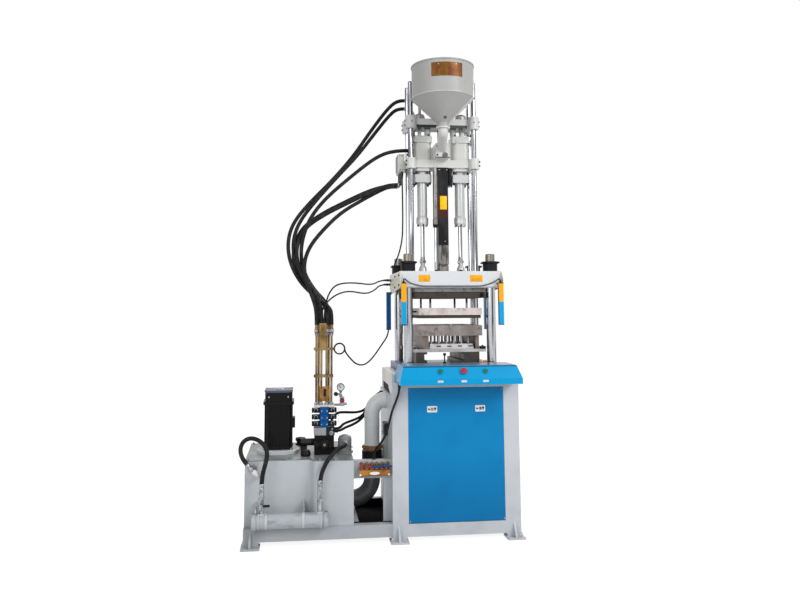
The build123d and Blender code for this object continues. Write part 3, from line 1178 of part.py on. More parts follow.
def suction_duct():
    """Oil duct from the clamp cylinder down to the tank, in two elbows joined by a rubber sleeve."""
    wall = -BASE_HALF_X
    upper = pipe([(DUCT_X, 0, SLEEVE_TOP), (DUCT_X, 0, DUCT_Z), (wall, 0, DUCT_Z)], DUCT_R, DUCT_BEND - 8)
    ring = rod_x(wall - 12, wall, 0, DUCT_Z, DUCT_R + 14)
    ring -= rod_x(wall - 13, wall + 1, 0, DUCT_Z, DUCT_R)
    joint = post(DUCT_X, 0, DUCT_JOINT_Z, DUCT_JOINT_Z + 8, DUCT_R + 3)
    joint -= post(DUCT_X, 0, DUCT_JOINT_Z - 1, DUCT_JOINT_Z + 9, DUCT_R)
    lower_run = [(DUCT_X, 0, SLEEVE_BOTTOM), (DUCT_X, 0, RETURN_Z), (TANK_RIGHT_X, 0, RETURN_Z)]
    lower = pipe(lower_run, RETURN_R, RETURN_BEND)
    sleeve = turned(DUCT_X, 0, [
        (0, SLEEVE_BOTTOM), (SLEEVE_R - 5, SLEEVE_BOTTOM), (SLEEVE_R, SLEEVE_BOTTOM + 8),
        (SLEEVE_R, SLEEVE_TOP - 8), (SLEEVE_R - 6, SLEEVE_TOP), (0, SLEEVE_TOP),
    ])
    band = turned(DUCT_X, 0, [
        (DUCT_R, SLEEVE_TOP), (61, SLEEVE_TOP), (61, SLEEVE_TOP + 28), (DUCT_R, SLEEVE_TOP + 28),
    ])
    band += block(DUCT_X + 55, DUCT_X + 76, -12, 12, SLEEVE_TOP + 2, SLEEVE_TOP + 26)
    return [upper, ring, joint, lower, sleeve, band]


def outlet_x(index):
    """Where each outlet of the water manifold stands."""
    pitch = (BRASS_RIGHT_X - BRASS_LEFT_X) / OUTLETS
    return BRASS_LEFT_X + pitch * (index + 0.5)


def water_manifold():
    """Brass cooling water manifold on its bracket, with six upright valve bodies."""
    y0, y1 = TANK_FRONT_LEFT_Y - BRASS_DEPTH, TANK_FRONT_LEFT_Y
    bar = block(BRASS_LEFT_X, BRASS_RIGHT_X, y0, y1, BRASS_Z, BRASS_TOP)
    bar = chamfer(bar.edges().filter_by(Axis.X), 3)
    pieces = [bar]
    middle = (y0 + y1) / 2
    for index in range(OUTLETS):
        x = outlet_x(index)
        valve = post(x, middle, BRASS_TOP, BRASS_TOP + 44, 8)
        valve += post(x, middle, BRASS_TOP + 12, BRASS_TOP + 28, 11)
        valve += rod_y(x, y0 - 4, middle, BRASS_TOP + VALVE_RISE, 4)
        pieces.append(valve)
    return pieces


def valve_lever(index):
    """Lever of one water valve; the first stands up and the others lie to the right."""
    y = TANK_FRONT_LEFT_Y - BRASS_DEPTH - 5.5 - REST_GAP
    turn = 0 if index == 0 else 90
    return lever(outlet_x(index), y, BRASS_TOP + VALVE_RISE, turn, LEVER_LENGTH, 3)


RISER_ENDS = [(end_x, RISER_Y, WEB_TOP + rise) for x, rise, end_x in RISERS]
SIDE_PORT = (SIDE_PORT_END_X, UNIT_Y, WEB_TOP + SIDE_PORT_RISE)
PORTS = [(BOX_LEFT_X, y, PORT_Z) for y in PORT_Y]
TUBE_TOPS = [(x, y, TUBE_TOP) for x, y in TUBES]
HOSE_EXIT = 50.0
HOLDER_EXITS = [(x, HOLDER_FRONT_Y + 7, TUBE_TOP + 10) for x in (TUBES[0][0] + 48, TUBES[0][0] + 32)]
COOLER_ENDS = [
    (COOLER_PORTS_X[0], COOLER_Y, HOSE_FOOT_Z),
    (COOLER_PORTS_X[1], COOLER_Y, OTHER_HOSE_FOOT_Z),
]
FILTER_END = (FILTER_X, FILTER_PORT_Y, FILTER_PORT_Z)
GLAND_ENDS = [(GLAND_FACE_X, y, z) for y, z in HEAD_GLANDS]
COLUMN_START = (*CABLE_GLAND, BOX_BOTTOM - 14)
COLUMN_END = (*TOP_GLAND, HEAD_TOP + 14)
CURTAIN_END = (-HEAD_HALF_X - ARM_THICK - 13.5, ARM_REAR_Y + 7, REAR_CURTAIN_BOTTOM + 35)
RING_OUT = (CABLE_RING[0] + 40, CABLE_RING[1], CABLE_RING[2] - 15)
POWER_START = (-BASE_HALF_X + 40, BASE_FRONT_Y - 33, CONSOLE_BOTTOM)
POWER_END = (BRASS_RIGHT_X - 92, TANK_FRONT_LEFT_Y + 18, BRASS_TOP + 52)


def off(point, x=0.0, y=0.0, z=0.0):
    """A point beside another one."""
    return point[0] + x, point[1] + y, point[2] + z


CORDS = {
    "hose_a1": (HOSE_R, [
        RISER_ENDS[0], off(RISER_ENDS[0], x=-HOSE_EXIT), (-355, 165, 2801), (-470, 150, 2642),
        (-601, 115, 2443), (-751, 56, 2258), (-916, -5, 2082), (-1011, -52, 1951), (-1043, -84, 1826),
        (-1026, -109, 1690), (-957, -134, 1559), (-861, -150, 1469), (-765, -162, 1399),
        off(TUBE_TOPS[3], z=HOSE_EXIT + 5), TUBE_TOPS[3],
    ]),
    "hose_a2": (HOSE_R, [
        RISER_ENDS[1], off(RISER_ENDS[1], x=-HOSE_EXIT), (-350, 158, 2744), (-445, 135, 2619),
        (-574, 92, 2443), (-699, 49, 2303), (-870, -21, 2099), (-976, -68, 1949), (-1011, -89, 1814),
        (-988, -112, 1679), (-917, -128, 1554), (-829, -127, 1465), (-789, -132, 1390),
        off(TUBE_TOPS[2], z=HOSE_EXIT + 5), TUBE_TOPS[2],
    ]),
    "hose_b": (HOSE_R, [
        SIDE_PORT, off(SIDE_PORT, x=-HOSE_EXIT - 17), (-380, 16, 2455), (-479, -4, 2399),
        (-638, -36, 2264), (-792, -67, 2124), (-889, -98, 1999), (-939, -117, 1874), (-958, -117, 1750),
        (-935, -107, 1627), (-868, -101, 1513), (-786, -101, 1432), off(TUBE_TOPS[5], z=HOSE_EXIT + 20),
        TUBE_TOPS[5],
    ]),
    "carriage_hoses": (HOSE_R, [
        PORTS[0], off(PORTS[0], x=-HOSE_EXIT - 2), (-431, 5, 2203), (-527, -11, 2158), (-673, -28, 2083),
        (-795, -44, 2018), (-924, -73, 1928), (-974, -105, 1833), (-986, -127, 1728), (-946, -153, 1613),
        (-876, -174, 1512), (-828, -180, 1421), off(TUBE_TOPS[1], z=HOSE_EXIT + 15), TUBE_TOPS[1],
    ], [
        PORTS[1], off(PORTS[1], x=-HOSE_EXIT - 2), (-441, 43, 2212), (-531, 34, 2177), (-680, 17, 2101),
        (-810, -1, 2031), (-935, -28, 1941), (-991, -51, 1840), (-1009, -69, 1735), (-977, -87, 1624),
        (-907, -103, 1529), (-847, -113, 1429), off(TUBE_TOPS[4], z=HOSE_EXIT + 20), TUBE_TOPS[4],
    ], [
        PORTS[2], off(PORTS[2], x=-HOSE_EXIT - 2), (-429, 65, 2193), (-524, 13, 2136), (-690, -57, 2031),
        (-816, -109, 1902), (-907, -152, 1782), (-939, -180, 1662), (-911, -198, 1546), (-865, -187, 1427),
        off(TUBE_TOPS[0], z=HOSE_EXIT + 20), TUBE_TOPS[0],
    ]),
    "cooler_hose_left": (COOLER_HOSE_R, [
        COOLER_ENDS[0], off(COOLER_ENDS[0], z=HOSE_EXIT + 5), (-1164, -428, 440), (-1150, -419, 490),
        (-1141, -406, 535), (-1152, -392, 582), (-1195, -380, 620), (-1250, -374, 632), (-1292, -377, 606),
        (-1303, -388, 552), off(INLET_END, x=-47, z=47), INLET_END,
    ]),
    "cooler_hose_right": (COOLER_HOSE_R, [
        FILTER_END, off(FILTER_END, y=-HOSE_EXIT), (-703, -334, 556), (-748, -384, 538), (-800, -424, 480),
        off(COOLER_ENDS[1], z=HOSE_EXIT + 25), COOLER_ENDS[1],
    ]),
    "head_cable_upper": (CABLE_R, [
        HOLDER_EXITS[0], off(HOLDER_EXITS[0], z=45), (-797, -198, 1419), (-772, -172, 1499),
        (-719, -116, 1554), (-599, -10, 1565), (-470, 115, 1552), off(GLAND_ENDS[0], x=-55), GLAND_ENDS[0],
    ]),
    "head_cable_lower": (CABLE_R, [
        HOLDER_EXITS[1], off(HOLDER_EXITS[1], z=45), (-811, -190, 1410), (-735, -140, 1481),
        (-640, -38, 1511), (-520, 65, 1490), (-450, 167, 1515), off(GLAND_ENDS[1], x=-55), GLAND_ENDS[1],
    ]),
    "column_cable": (CABLE_R, [
        COLUMN_START, off(COLUMN_START, z=-69), (-264, 45, 2120), (-262, 55, 1990), (-265, 65, 1860),
        (-285, 105, 1760), (-308, 142, 1705), off(COLUMN_END, z=43), COLUMN_END,
    ]),
    "curtain_cable": (CABLE_R, [
        RING_OUT, (-638, -141, 1078), (-600, -105, 1038), (-550, -55, 1022), (-500, 20, 1040),
        (-450, 95, 1085), (-400, 160, 1145), (-358, 205, 1195), off(CURTAIN_END, z=-42), CURTAIN_END,
    ]),
    "power_cable": (POWER_CABLE_R, [
        POWER_START, off(POWER_START, z=-45), (-372, -413, 840), (-398, -408, 780), (-413, -400, 715),
        (-428, -385, 650), (-455, -358, 585), (-488, -326, 542), off(POWER_END, z=38), POWER_END,
    ]),
}


def cords():
    """Every free hose and cable, and the hanging ring of spare curtain cable."""
    made = {}
    for name, (radius, *routes) in CORDS.items():
        made[name] = [cord(name, route, radius) for route in routes]
    made["curtain_cable"].append(Pos(*CABLE_RING) * Rot(90, 0, 0) * Torus(CABLE_RING_R, CABLE_R))
    return made


def build():
    """Every node's pieces by its name."""
    nodes = {
        maker.__name__: maker()
        for maker in (
            base_frame, skid_frame, bed_block, clamp_cylinder, tie_bars, head_platen, light_curtains,
            guide_bars, shift_rods, upper_plate, console, oil_tank, pump_motor, oil_cooler, valve_stack,
            hard_tubes, suction_duct, water_manifold, carriage_casting, shift_cylinders, barrel,
            barrel_cover, feed_chute, hopper, junction_box, riser_pipes, crosshead, injection_rods,
            screw_motor, moving_platen, ram, bolster, lower_plate, ejector_set, middle_plate,
            front_panel, cooler_lever, relief_knob,
        )
    }
    nodes["panel_lock_left"] = panel_lock(-1)
    nodes["panel_lock_right"] = panel_lock(1)
    for index, name in enumerate(("start_button_left", "stop_button", "start_button_right")):
        nodes[name] = button(index)
    for index in range(OUTLETS):
        nodes[f"valve_lever_{index + 1}"] = valve_lever(index)
    nodes.update(cords())
    return nodes


def main():
    """Moves every node to the origin and writes it."""
    os.makedirs("parts", exist_ok=True)
    shift = Pos(-ORIGIN[0], -ORIGIN[1], 0)
    for name, pieces in build().items():
        solids = [solid for piece in pieces for solid in piece.solids()]
        placed = [shift * solid for solid in solids]
        export_step(placed[0] if len(placed) == 1 else Compound(children=placed), f"parts/{name}.step")


main()
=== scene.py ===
import math

import bmesh
import bpy
from mathutils import Matrix, Vector


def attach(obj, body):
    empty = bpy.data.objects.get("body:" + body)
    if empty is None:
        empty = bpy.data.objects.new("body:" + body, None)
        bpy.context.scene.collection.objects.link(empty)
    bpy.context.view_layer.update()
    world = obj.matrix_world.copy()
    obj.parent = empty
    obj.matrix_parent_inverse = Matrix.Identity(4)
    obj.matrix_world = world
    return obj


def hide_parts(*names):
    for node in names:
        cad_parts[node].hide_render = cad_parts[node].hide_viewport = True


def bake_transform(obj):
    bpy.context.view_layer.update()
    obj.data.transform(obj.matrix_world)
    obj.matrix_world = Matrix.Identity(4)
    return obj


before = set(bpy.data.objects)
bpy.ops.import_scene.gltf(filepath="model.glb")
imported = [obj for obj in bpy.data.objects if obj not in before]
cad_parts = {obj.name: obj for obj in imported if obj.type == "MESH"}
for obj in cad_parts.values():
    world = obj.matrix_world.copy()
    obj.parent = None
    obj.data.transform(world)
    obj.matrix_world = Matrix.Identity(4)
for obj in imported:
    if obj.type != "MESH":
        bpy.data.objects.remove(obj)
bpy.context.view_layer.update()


# Welded base. A folded and welded steel box with a front frame, on four gusseted feet, painted in
# light grey enamel; dust gathers low down. Two small boxes are screwed to its left wall.
class Value:
    """A socket's value, which sums and products can use like a number."""

    def __init__(self, finish, socket):
        self.finish = finish
        self.socket = socket

    def work(self, operation, *values):
        return self.finish.add("Math", {"operation": operation}, dict(enumerate(values)))

    def __add__(self, other):
        return self.work("ADD", self, other)

    def __radd__(self, other):
        return self.work("ADD", other, self)

    def __sub__(self, other):
        return self.work("SUBTRACT", self, other)

    def __rsub__(self, other):
        return self.work("SUBTRACT", other, self)

    def __mul__(self, other):
        return self.work("MULTIPLY", self, other)

    def __rmul__(self, other):
        return self.work("MULTIPLY", other, self)

    def __abs__(self):
        return self.work("ABSOLUTE", self)

    def or_more(self, other):
        return self.work("MAXIMUM", self, other)


def paint_colour(shade):
    """A shade read from 0 to 255 as a screen shows it, in the renderer's own terms."""
    parts = [level / 255 for level in shade]
    return tuple(part / 12.92 if part < 0.04 else ((part + 0.055) / 1.055) ** 2.4 for part in parts) + (1.0,)


# The press's own axis, in the frame's millimetres.
AXIS_X, AXIS_Y = 440, 112.5


class Finish:
    """One finish: a material, its shader and what its pattern is drawn from, in the frame's metres."""

    def __init__(self, name, shade, **constants):
        self.material = bpy.data.materials.new(name)
        self.material.use_nodes = True
        self.tree = self.material.node_tree
        self.shader = self.tree.nodes["Principled BSDF"]
        self.shader.inputs["Base Color"].default_value = paint_colour(shade)
        for socket, value in constants.items():
            self.shader.inputs[socket.replace("_", " ")].default_value = value
        self.place = self.add("TexCoord", {}, {}, "Object")
        parts = self.tree.nodes.new("ShaderNodeSeparateXYZ")
        self.tree.links.new(self.place.socket, parts.inputs[0])
        self.x, self.y, self.z = (Value(self, socket) for socket in parts.outputs)
        self.shade = shade

    def add(self, kind, settings, inputs, output=0):
        """A node of a kind: its settings first, then its sockets' values or links."""
        node = self.tree.nodes.new("ShaderNode" + kind)
        for key, value in settings.items():
            setattr(node, key, value)
        for key, value in inputs.items():
            if isinstance(value, Value):
                self.tree.links.new(value.socket, node.inputs[key])
            else:
                node.inputs[key].default_value = value
        return Value(self, node.outputs[output])

    def drive(self, socket, value):
        self.tree.links.new(value.socket, self.shader.inputs[socket])

    def mixed(self, share, first, second):
        """From one shade to another by a share."""
        first, second = (
            shade if isinstance(shade, Value) else paint_colour(shade) for shade in (first, second))
        return self.add("Mix", {"data_type": "RGBA"}, {0: share, 6: first, 7: second}, 2)

    def paint(self, share, shade):
        """Lays a shade over what is there, by a share, and shows the result."""
        self.shade = self.mixed(share, self.shade, shade)
        self.drive("Base Color", self.shade)

    def noise(self, scale, detail=4.0, stretch=(1, 1, 1)):
        """Noise of about a scale's lumps to the metre, drawn out along an axis by a small stretch."""
        place = self.place
        if stretch != (1, 1, 1):
            place = self.add("Mapping", {}, {0: place, 3: stretch})
        return self.add("TexNoise", {}, {"Vector": place, "Scale": scale, "Detail": detail})

    def waves(self, direction, scale, phase=0.0):
        """Waves along an axis, from 0 to 1 and back."""
        return self.add("TexWave", {"bands_direction": direction}, {
            "Vector": self.place, "Scale": scale, "Phase Offset": phase}, 1)

    def ramp(self, value, low, high):
        """From 0 to 1 as a value goes from low to high."""
        return self.add("MapRange", {"interpolation_type": "SMOOTHSTEP"}, {0: value, 1: low, 2: high})

    def fall(self, value, low, high):
        """From 1 to 0 as a value goes from low to high."""
        return 1 - self.ramp(value, low, high)

    def within(self, value, low, high, soft=0.0004):
        """1 between two values and 0 outside them."""
        return self.ramp(value, low - soft, low + soft) * self.fall(value, high - soft, high + soft)

    def mottle(self, shade, scale, low, high, detail=4.0, stretch=(1, 1, 1)):
        """Lays a shade in patches, where noise goes from low to high."""
        self.paint(self.ramp(self.noise(scale, detail, stretch), low, high), shade)

    def off_middle(self):
        """How far left or right of the press's middle."""
        return abs(self.x - AXIS_X / 1000)

    def bump(self, height, distance, strength=0.6):
        normal = self.add("Bump", {}, {"Height": height, "Distance": distance, "Strength": strength})
        self.drive("Normal", normal)


def enamel(name, shade, dusty=None, roughness=0.32, ripple=0.0003, dirt_top=0.5, shine=0.3):
    """Stoved enamel over steel: rippled, clouded, scuffed, and dusty towards the floor."""
    finish = Finish(
        name, shade, Roughness=roughness, Specular_IOR_Level=shine,
        Coat_Weight=shine * 0.4, Coat_Roughness=0.15)
    cloud = finish.noise(5.0, 6.0)
    low_down = finish.fall(finish.z, 0.0, dirt_top)
    scuff = finish.ramp(finish.noise(38.0, 8.0), 0.6, 0.72)
    dirt = finish.ramp(cloud, 0.45, 0.75) * 0.35 + low_down * 0.5 * cloud + scuff * 0.12
    finish.paint(dirt, dusty or [level * 0.86 for level in shade])
    finish.rough = roughness + dirt * 0.25
    finish.drive("Roughness", finish.rough)
    finish.bump(finish.noise(160.0, 2.0), ripple)
    return finish


def dress(finish, *nodes):
    """Gives a finish to CAD nodes."""
    for node in nodes:
        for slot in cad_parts[node].material_slots:
            slot.material = finish.material


SOOT = (24, 24, 26)
base_finish = enamel("base_enamel", (196, 200, 205), shine=0.18)
left_of_wall = base_finish.ramp(-1 * base_finish.x, -0.0448, -0.0445)
on_boxes = left_of_wall * base_finish.within(base_finish.z, 0.42, 0.67)
base_finish.paint(on_boxes, (142, 144, 145))
base_finish.paint(on_boxes * base_finish.ramp(base_finish.z, 0.591, 0.5915), (26, 26, 28))
dress(base_finish, "base_frame")
light_grey = enamel("light_grey_enamel", (176, 181, 186), (132, 136, 139), shine=0.18)
dress(light_grey, "skid_frame", "clamp_cylinder")


def at(x, y, z):
    """A point measured in millimetres from the press's own axis, in the frame's metres."""
    return Vector(((x + AXIS_X) / 1000, (y + AXIS_Y) / 1000, z / 1000))


class Form:
    """A mesh joined from shapes whose sizes are millimetres from the press's own axis."""

    def __init__(self):
        self.mesh = bmesh.new()

    def join(self, shape, place):
        bmesh.ops.remove_doubles(shape, verts=shape.verts, dist=0.00001)
        bmesh.ops.transform(shape, matrix=place, verts=shape.verts)
        bmesh.ops.recalc_face_normals(shape, faces=shape.faces)
        scratch = bpy.data.meshes.new("scratch")
        shape.to_mesh(scratch)
        shape.free()
        self.mesh.from_mesh(scratch)
        bpy.data.meshes.remove(scratch)

    def slab(self, low, high, bevel=1.0):
        """A block between two corners, its edges broken."""
        self.plank(at(*low), at(*high), Matrix(), bevel)

    def plank(self, low, high, turn, bevel):
        shape = bmesh.new()
        bmesh.ops.create_cube(shape, size=1.0)
        bmesh.ops.scale(shape, vec=high - low, verts=shape.verts)
        bmesh.ops.bevel(
            shape, geom=shape.edges[:], offset=bevel / 1000, segments=2, profile=0.5,
            affect="EDGES", material=-1)
        self.join(shape, Matrix.Translation((low + high) / 2) @ turn)

    def strip(self, start, end, facing, width, thick, bevel=0.6):
        """A flat bar from one point to another, its broad side facing a way."""
        start, end = at(*start), at(*end)
        along = (end - start).normalized()
        across = along.cross(Vector(facing)).normalized()
        turn = Matrix((along, across, along.cross(across))).transposed().to_4x4()
        half = Vector(((end - start).length, width / 1000, thick / 1000)) / 2
        middle = (start + end) / 2
        self.plank(middle - half, middle + half, turn, bevel)

    def turned(self, foot, toward, outline, steps=28, squash=1.0):
        """A turned piece: radius and height pairs in millimetres, from its foot along its axis."""
        shape = bmesh.new()
        points = [shape.verts.new((radius / 1000, 0, height / 1000)) for radius, height in outline]
        for first, second in zip(points, points[1:]):
            shape.edges.new((first, second))
        bmesh.ops.spin(
            shape, geom=shape.verts[:] + shape.edges[:], cent=(0, 0, 0), axis=(0, 0, 1),
            angle=math.tau, steps=steps, use_merge=True)
        bmesh.ops.scale(shape, vec=(1, squash, 1), verts=shape.verts)
        turn = Vector(toward).to_track_quat("Z", "Y").to_matrix().to_4x4()
        self.join(shape, Matrix.Translation(at(*foot)) @ turn)

    def stub(self, foot, toward, radius, height, steps):
        """A plain round stub."""
        self.turned(foot, toward, [(0, 0), (radius, 0), (radius, height), (0, height)], steps)

    def hexagon(self, foot, toward, across, height):
        """A hexagon nut or bolt head with its corners turned down."""
        shape = bmesh.new()
        corner = across / 1000 / math.sqrt(3)
        bmesh.ops.create_cone(
            shape, cap_ends=True, segments=6, radius1=corner, radius2=corner, depth=height / 1000)
        rims = [edge for edge in shape.edges if abs(edge.verts[0].co.z - edge.verts[1].co.z) < 0.0001]
        bmesh.ops.bevel(
            shape, geom=rims, offset=across / 14000, segments=1, profile=0.5, affect="EDGES", material=-1)
        toward = Vector(toward).normalized()
        turn = toward.to_track_quat("Z", "Y").to_matrix().to_4x4()
        self.join(shape, Matrix.Translation(at(*foot) + toward * height / 2000) @ turn)

    def bolt(self, foot, toward, across, height):
        """A hexagon head on its washer, with the thread's end standing out of it."""
        self.stub(foot, toward, across * 0.62, 1.4, 18)
        self.hexagon(foot, toward, across, height)
        thread = across * 0.3
        self.turned(foot, toward, [
            (0, 0), (thread, 0), (thread, height + 2), (thread - 1, height + 3), (0, height + 3)], 14)

    def cap_screw(self, foot, toward, radius, height):
        """A socket head screw with its recess."""
        self.turned(foot, toward, [
            (0, height * 0.45), (radius * 0.52, height * 0.45), (radius * 0.56, height),
            (radius * 0.86, height), (radius, height * 0.86), (radius, 0), (0, 0)], 18)


def piece(name, form, finish, body):
    """Puts a form in the scene as a piece that moves with a body."""
    mesh = bpy.data.meshes.new(name)
    form.mesh.to_mesh(mesh)
    form.mesh.free()
    mesh.shade_smooth()
    mesh.set_sharp_from_angle(angle=math.radians(31))
    mesh.materials.append(finish.material)
    new = bpy.data.objects.new(name, mesh)
    bpy.context.scene.collection.objects.link(new)
    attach(new, body)


zinc = Finish("zinc_plate", (168, 170, 173), Metallic=0.9, Roughness=0.3)
zinc_cloud = zinc.noise(60.0, 6.0)
zinc.paint(zinc.ramp(zinc_cloud, 0.4, 0.7), (112, 114, 118))
zinc.drive("Roughness", 0.24 + zinc_cloud * 0.2)
blackened = Finish("blackened_steel", SOOT, Metallic=0.4, Roughness=0.42, Specular_IOR_Level=0.15)
black_cloud = blackened.noise(70.0, 6.0)
blackened.paint(blackened.ramp(black_cloud, 0.45, 0.75), (46, 45, 46))
blackened.drive("Roughness", 0.34 + black_cloud * 0.2)

UP = (0, 0, 1)
DOWN = (0, 0, -1)
FRONT = (0, -1, 0)
LEFT = (-1, 0, 0)
RIGHT = (1, 0, 0)
SIDES = (-1, 1)
box_screws = Form()
for box_face, rear, front, low, high in ((-419, -144, -46, 433, 584), (-421, -153, -67, 599, 658)):
    for z in (low, high):
        for y in (rear, front):
            box_screws.cap_screw((box_face, y, z), LEFT, 3.5, 3)
piece("box_screws", box_screws, zinc, "frame")


# Bed block over the clamp cylinder. A thick machined steel block, its sides filled and painted in
# a warmer cream grey than the sheet metal under it; a hose opening in its left side is painted on as
# black shade.
OPENING_BOTTOM, OPENING_TOP = 0.853, 0.9
bed_finish = enamel("cream_enamel", (216, 213, 207), ripple=0.0005, shine=0.15)
left_side = bed_finish.ramp(-1 * bed_finish.x, -0.0557, -0.0553)
opening_height = left_side * bed_finish.within(bed_finish.z, OPENING_BOTTOM, OPENING_TOP)
slanted_ends = bed_finish.within(bed_finish.y - (bed_finish.z - OPENING_BOTTOM) * 2.2, -0.07, 0.27)
opening_shade = opening_height * (slanted_ends * bed_finish.within(bed_finish.y, -0.08, 0.31))
# The hose opening is painted shade: a black, matt patch on the flat left side.
bed_finish.paint(opening_shade, (8, 8, 9))
bed_finish.drive("Roughness", bed_finish.rough + opening_shade)
dress(bed_finish, "bed_block")


# Tie bars with their ring nuts. Ground and chromed steel bars, their turned ends left bare and
# brown with oil; the flanged nuts are blackened and locked by a screw in each of their ears.
TIE_X, TIE_Y = 270, 231
EAR_REACH = 61.5 * math.sqrt(0.5)


def corners(reach_x, reach_y):
    """The four corners of a rectangle round a middle."""
    return [(side_x * reach_x, side_y * reach_y) for side_x in SIDES for side_y in SIDES]


tie_finish = Finish("tie_bars", (168, 170, 174), Metallic=1.0, Roughness=0.2, Specular_IOR_Level=0.2)
off_x = abs(tie_finish.off_middle() - TIE_X / 1000)
off_y = abs(abs(tie_finish.y - AXIS_Y / 1000) - TIE_Y / 1000)
on_nuts = tie_finish.ramp(off_x * off_x + off_y * off_y, 0.00090, 0.00092)
on_ends = tie_finish.ramp(tie_finish.z, 1.62, 1.63)
turned_marks = tie_finish.noise(60.0, 5.0, (0.2, 0.2, 6.0))
# Dark streaks along the bars are painted reflections.
tie_reflection_streaks = tie_finish.noise(42.0, 4.0, (1.0, 1.0, 0.04))
tie_finish.paint(turned_marks, (204, 206, 209))
tie_finish.paint(tie_finish.ramp(tie_reflection_streaks, 0.5, 0.62), (112, 114, 119))
tie_finish.paint(on_ends, tie_finish.mixed(turned_marks, (150, 140, 130), (108, 98, 90)))
tie_finish.paint(on_nuts, (24, 24, 27))
tie_finish.drive("Metallic", 1 - on_nuts * 0.6)
tie_finish.drive("Roughness", 0.16 + on_ends * 0.16 + on_nuts * 0.12 + turned_marks * 0.06)
dress(tie_finish, "tie_bars")

ear_screws = Form()
for bar_x, bar_y in corners(TIE_X, TIE_Y):
    for way_x, way_y in corners(1, 1):
        foot = (bar_x + way_x * EAR_REACH, bar_y + way_y * EAR_REACH, 1685)
        ear_screws.cap_screw(foot, (way_x, way_y, 0), 5.5, 8)
piece("ear_screws", ear_screws, blackened, "frame")


# Head platen. A thick steel casting, machined on its faces and painted pale grey, with black cable
# glands in its left end and on its top and two bare orange plates on its front.
HEAD_TOP, HEAD_FRONT = 1628, -287
head_finish = enamel("head_enamel", (212, 216, 219), ripple=0.0006)
left_gland = head_finish.ramp(-1 * head_finish.x, -0.1128, -0.1126)
top_gland = head_finish.ramp(head_finish.z, 1.6281, 1.6283)
head_finish.paint(left_gland.or_more(top_gland), SOOT)
dress(head_finish, "head_platen")

orange = Finish("orange_plate", (238, 168, 20), Roughness=0.36, Specular_IOR_Level=0.2)
orange.mottle((222, 146, 24), 34.0, 0.45, 0.7, 6.0)
orange.bump(orange.noise(300.0, 2.0), 0.0001)
head_plates = Form()
for left, right in ((-210, -136), (123, 205)):
    head_plates.slab((left, HEAD_FRONT - 1.2, 1560), (right, HEAD_FRONT + 0.5, 1604), 0.5)
piece("head_plates", head_plates, orange, "frame")
head_bolts = Form()
for x, y in ((-295, 0), (295, 0), (-80, 215), (80, 215), (-80, -215), (80, -215)):
    head_bolts.cap_screw((x, y, HEAD_TOP), UP, 12, 12)
for x in (-300, 300):
    head_bolts.cap_screw((x, HEAD_FRONT, 1548), FRONT, 5, 4)
piece("head_bolts", head_bolts, blackened, "frame")


# Light curtains. Extruded posts with black caps, the front pair yellow above and blue below and the
# rear pair dark blue, on cream sheet arms that are screwed to the head's ends.
POST_BLACK = (22, 22, 24)
curtain = Finish("light_curtains", (220, 214, 196), Roughness=0.42, Specular_IOR_Level=0.2)
curtain.mottle((200, 194, 176), 9.0, 0.4, 0.7)
span = curtain.off_middle()
front_post = curtain.within(span, 0.2965, 0.3272) * curtain.within(curtain.y, -0.2279, -0.1971)
curtain.paint(front_post, (236, 166, 26))
curtain.paint(front_post * curtain.fall(curtain.z, 1.432, 1.4325), (10, 156, 212))
curtain.paint(front_post * (1 - curtain.within(curtain.z, 1.292, 1.547)), POST_BLACK)
rear_post = curtain.within(span, 0.3322, 0.3625) * curtain.within(curtain.y, 0.287, 0.3178)
curtain.paint(rear_post, (8, 84, 148))
curtain.paint(rear_post * (1 - curtain.within(curtain.z, 1.2505, 1.4995)), POST_BLACK)
curtain.paint(curtain.ramp(curtain.y, 0.3176, 0.3179), POST_BLACK)
before_arms = curtain.fall(curtain.y, -0.174, -0.1735)
thin_cable = before_arms * curtain.fall(span, 0.3264, 0.3268) * (1 - front_post)
curtain.paint(thin_cable, (92, 96, 100))
curtain.bump(curtain.noise(120.0, 2.0), 0.0003)
dress(curtain, "light_curtains")

lens = Finish("lens_strip", (24, 14, 16), Roughness=0.14, Coat_Weight=0.3)
lens.paint(lens.ramp(abs(lens.waves("Z", 26.0)), 0.75, 0.8), (70, 30, 34))
lens_strips = Form()
for side in SIDES:
    lens_strips.slab((side * 297 - 1, -334, 1298), (side * 297 + 1, -316, 1540), 0.4)
piece("lens_strips", lens_strips, lens, "frame")
arm_screws = Form()
for side in SIDES:
    for y, z in ((-262, 1602), (-262, 1540), (-60, 1602), (-60, 1530), (150, 1580), (150, 1500)):
        arm_screws.cap_screw((side * 332, y, z), (side, 0, 0), 6, 6)
    arm_screws.turned((side * 311, -321, 1551), UP, [(0, 0), (8, 0), (8, 7), (6, 9), (5, 14), (0, 14)], 20)
piece("arm_screws", arm_screws, blackened, "frame")


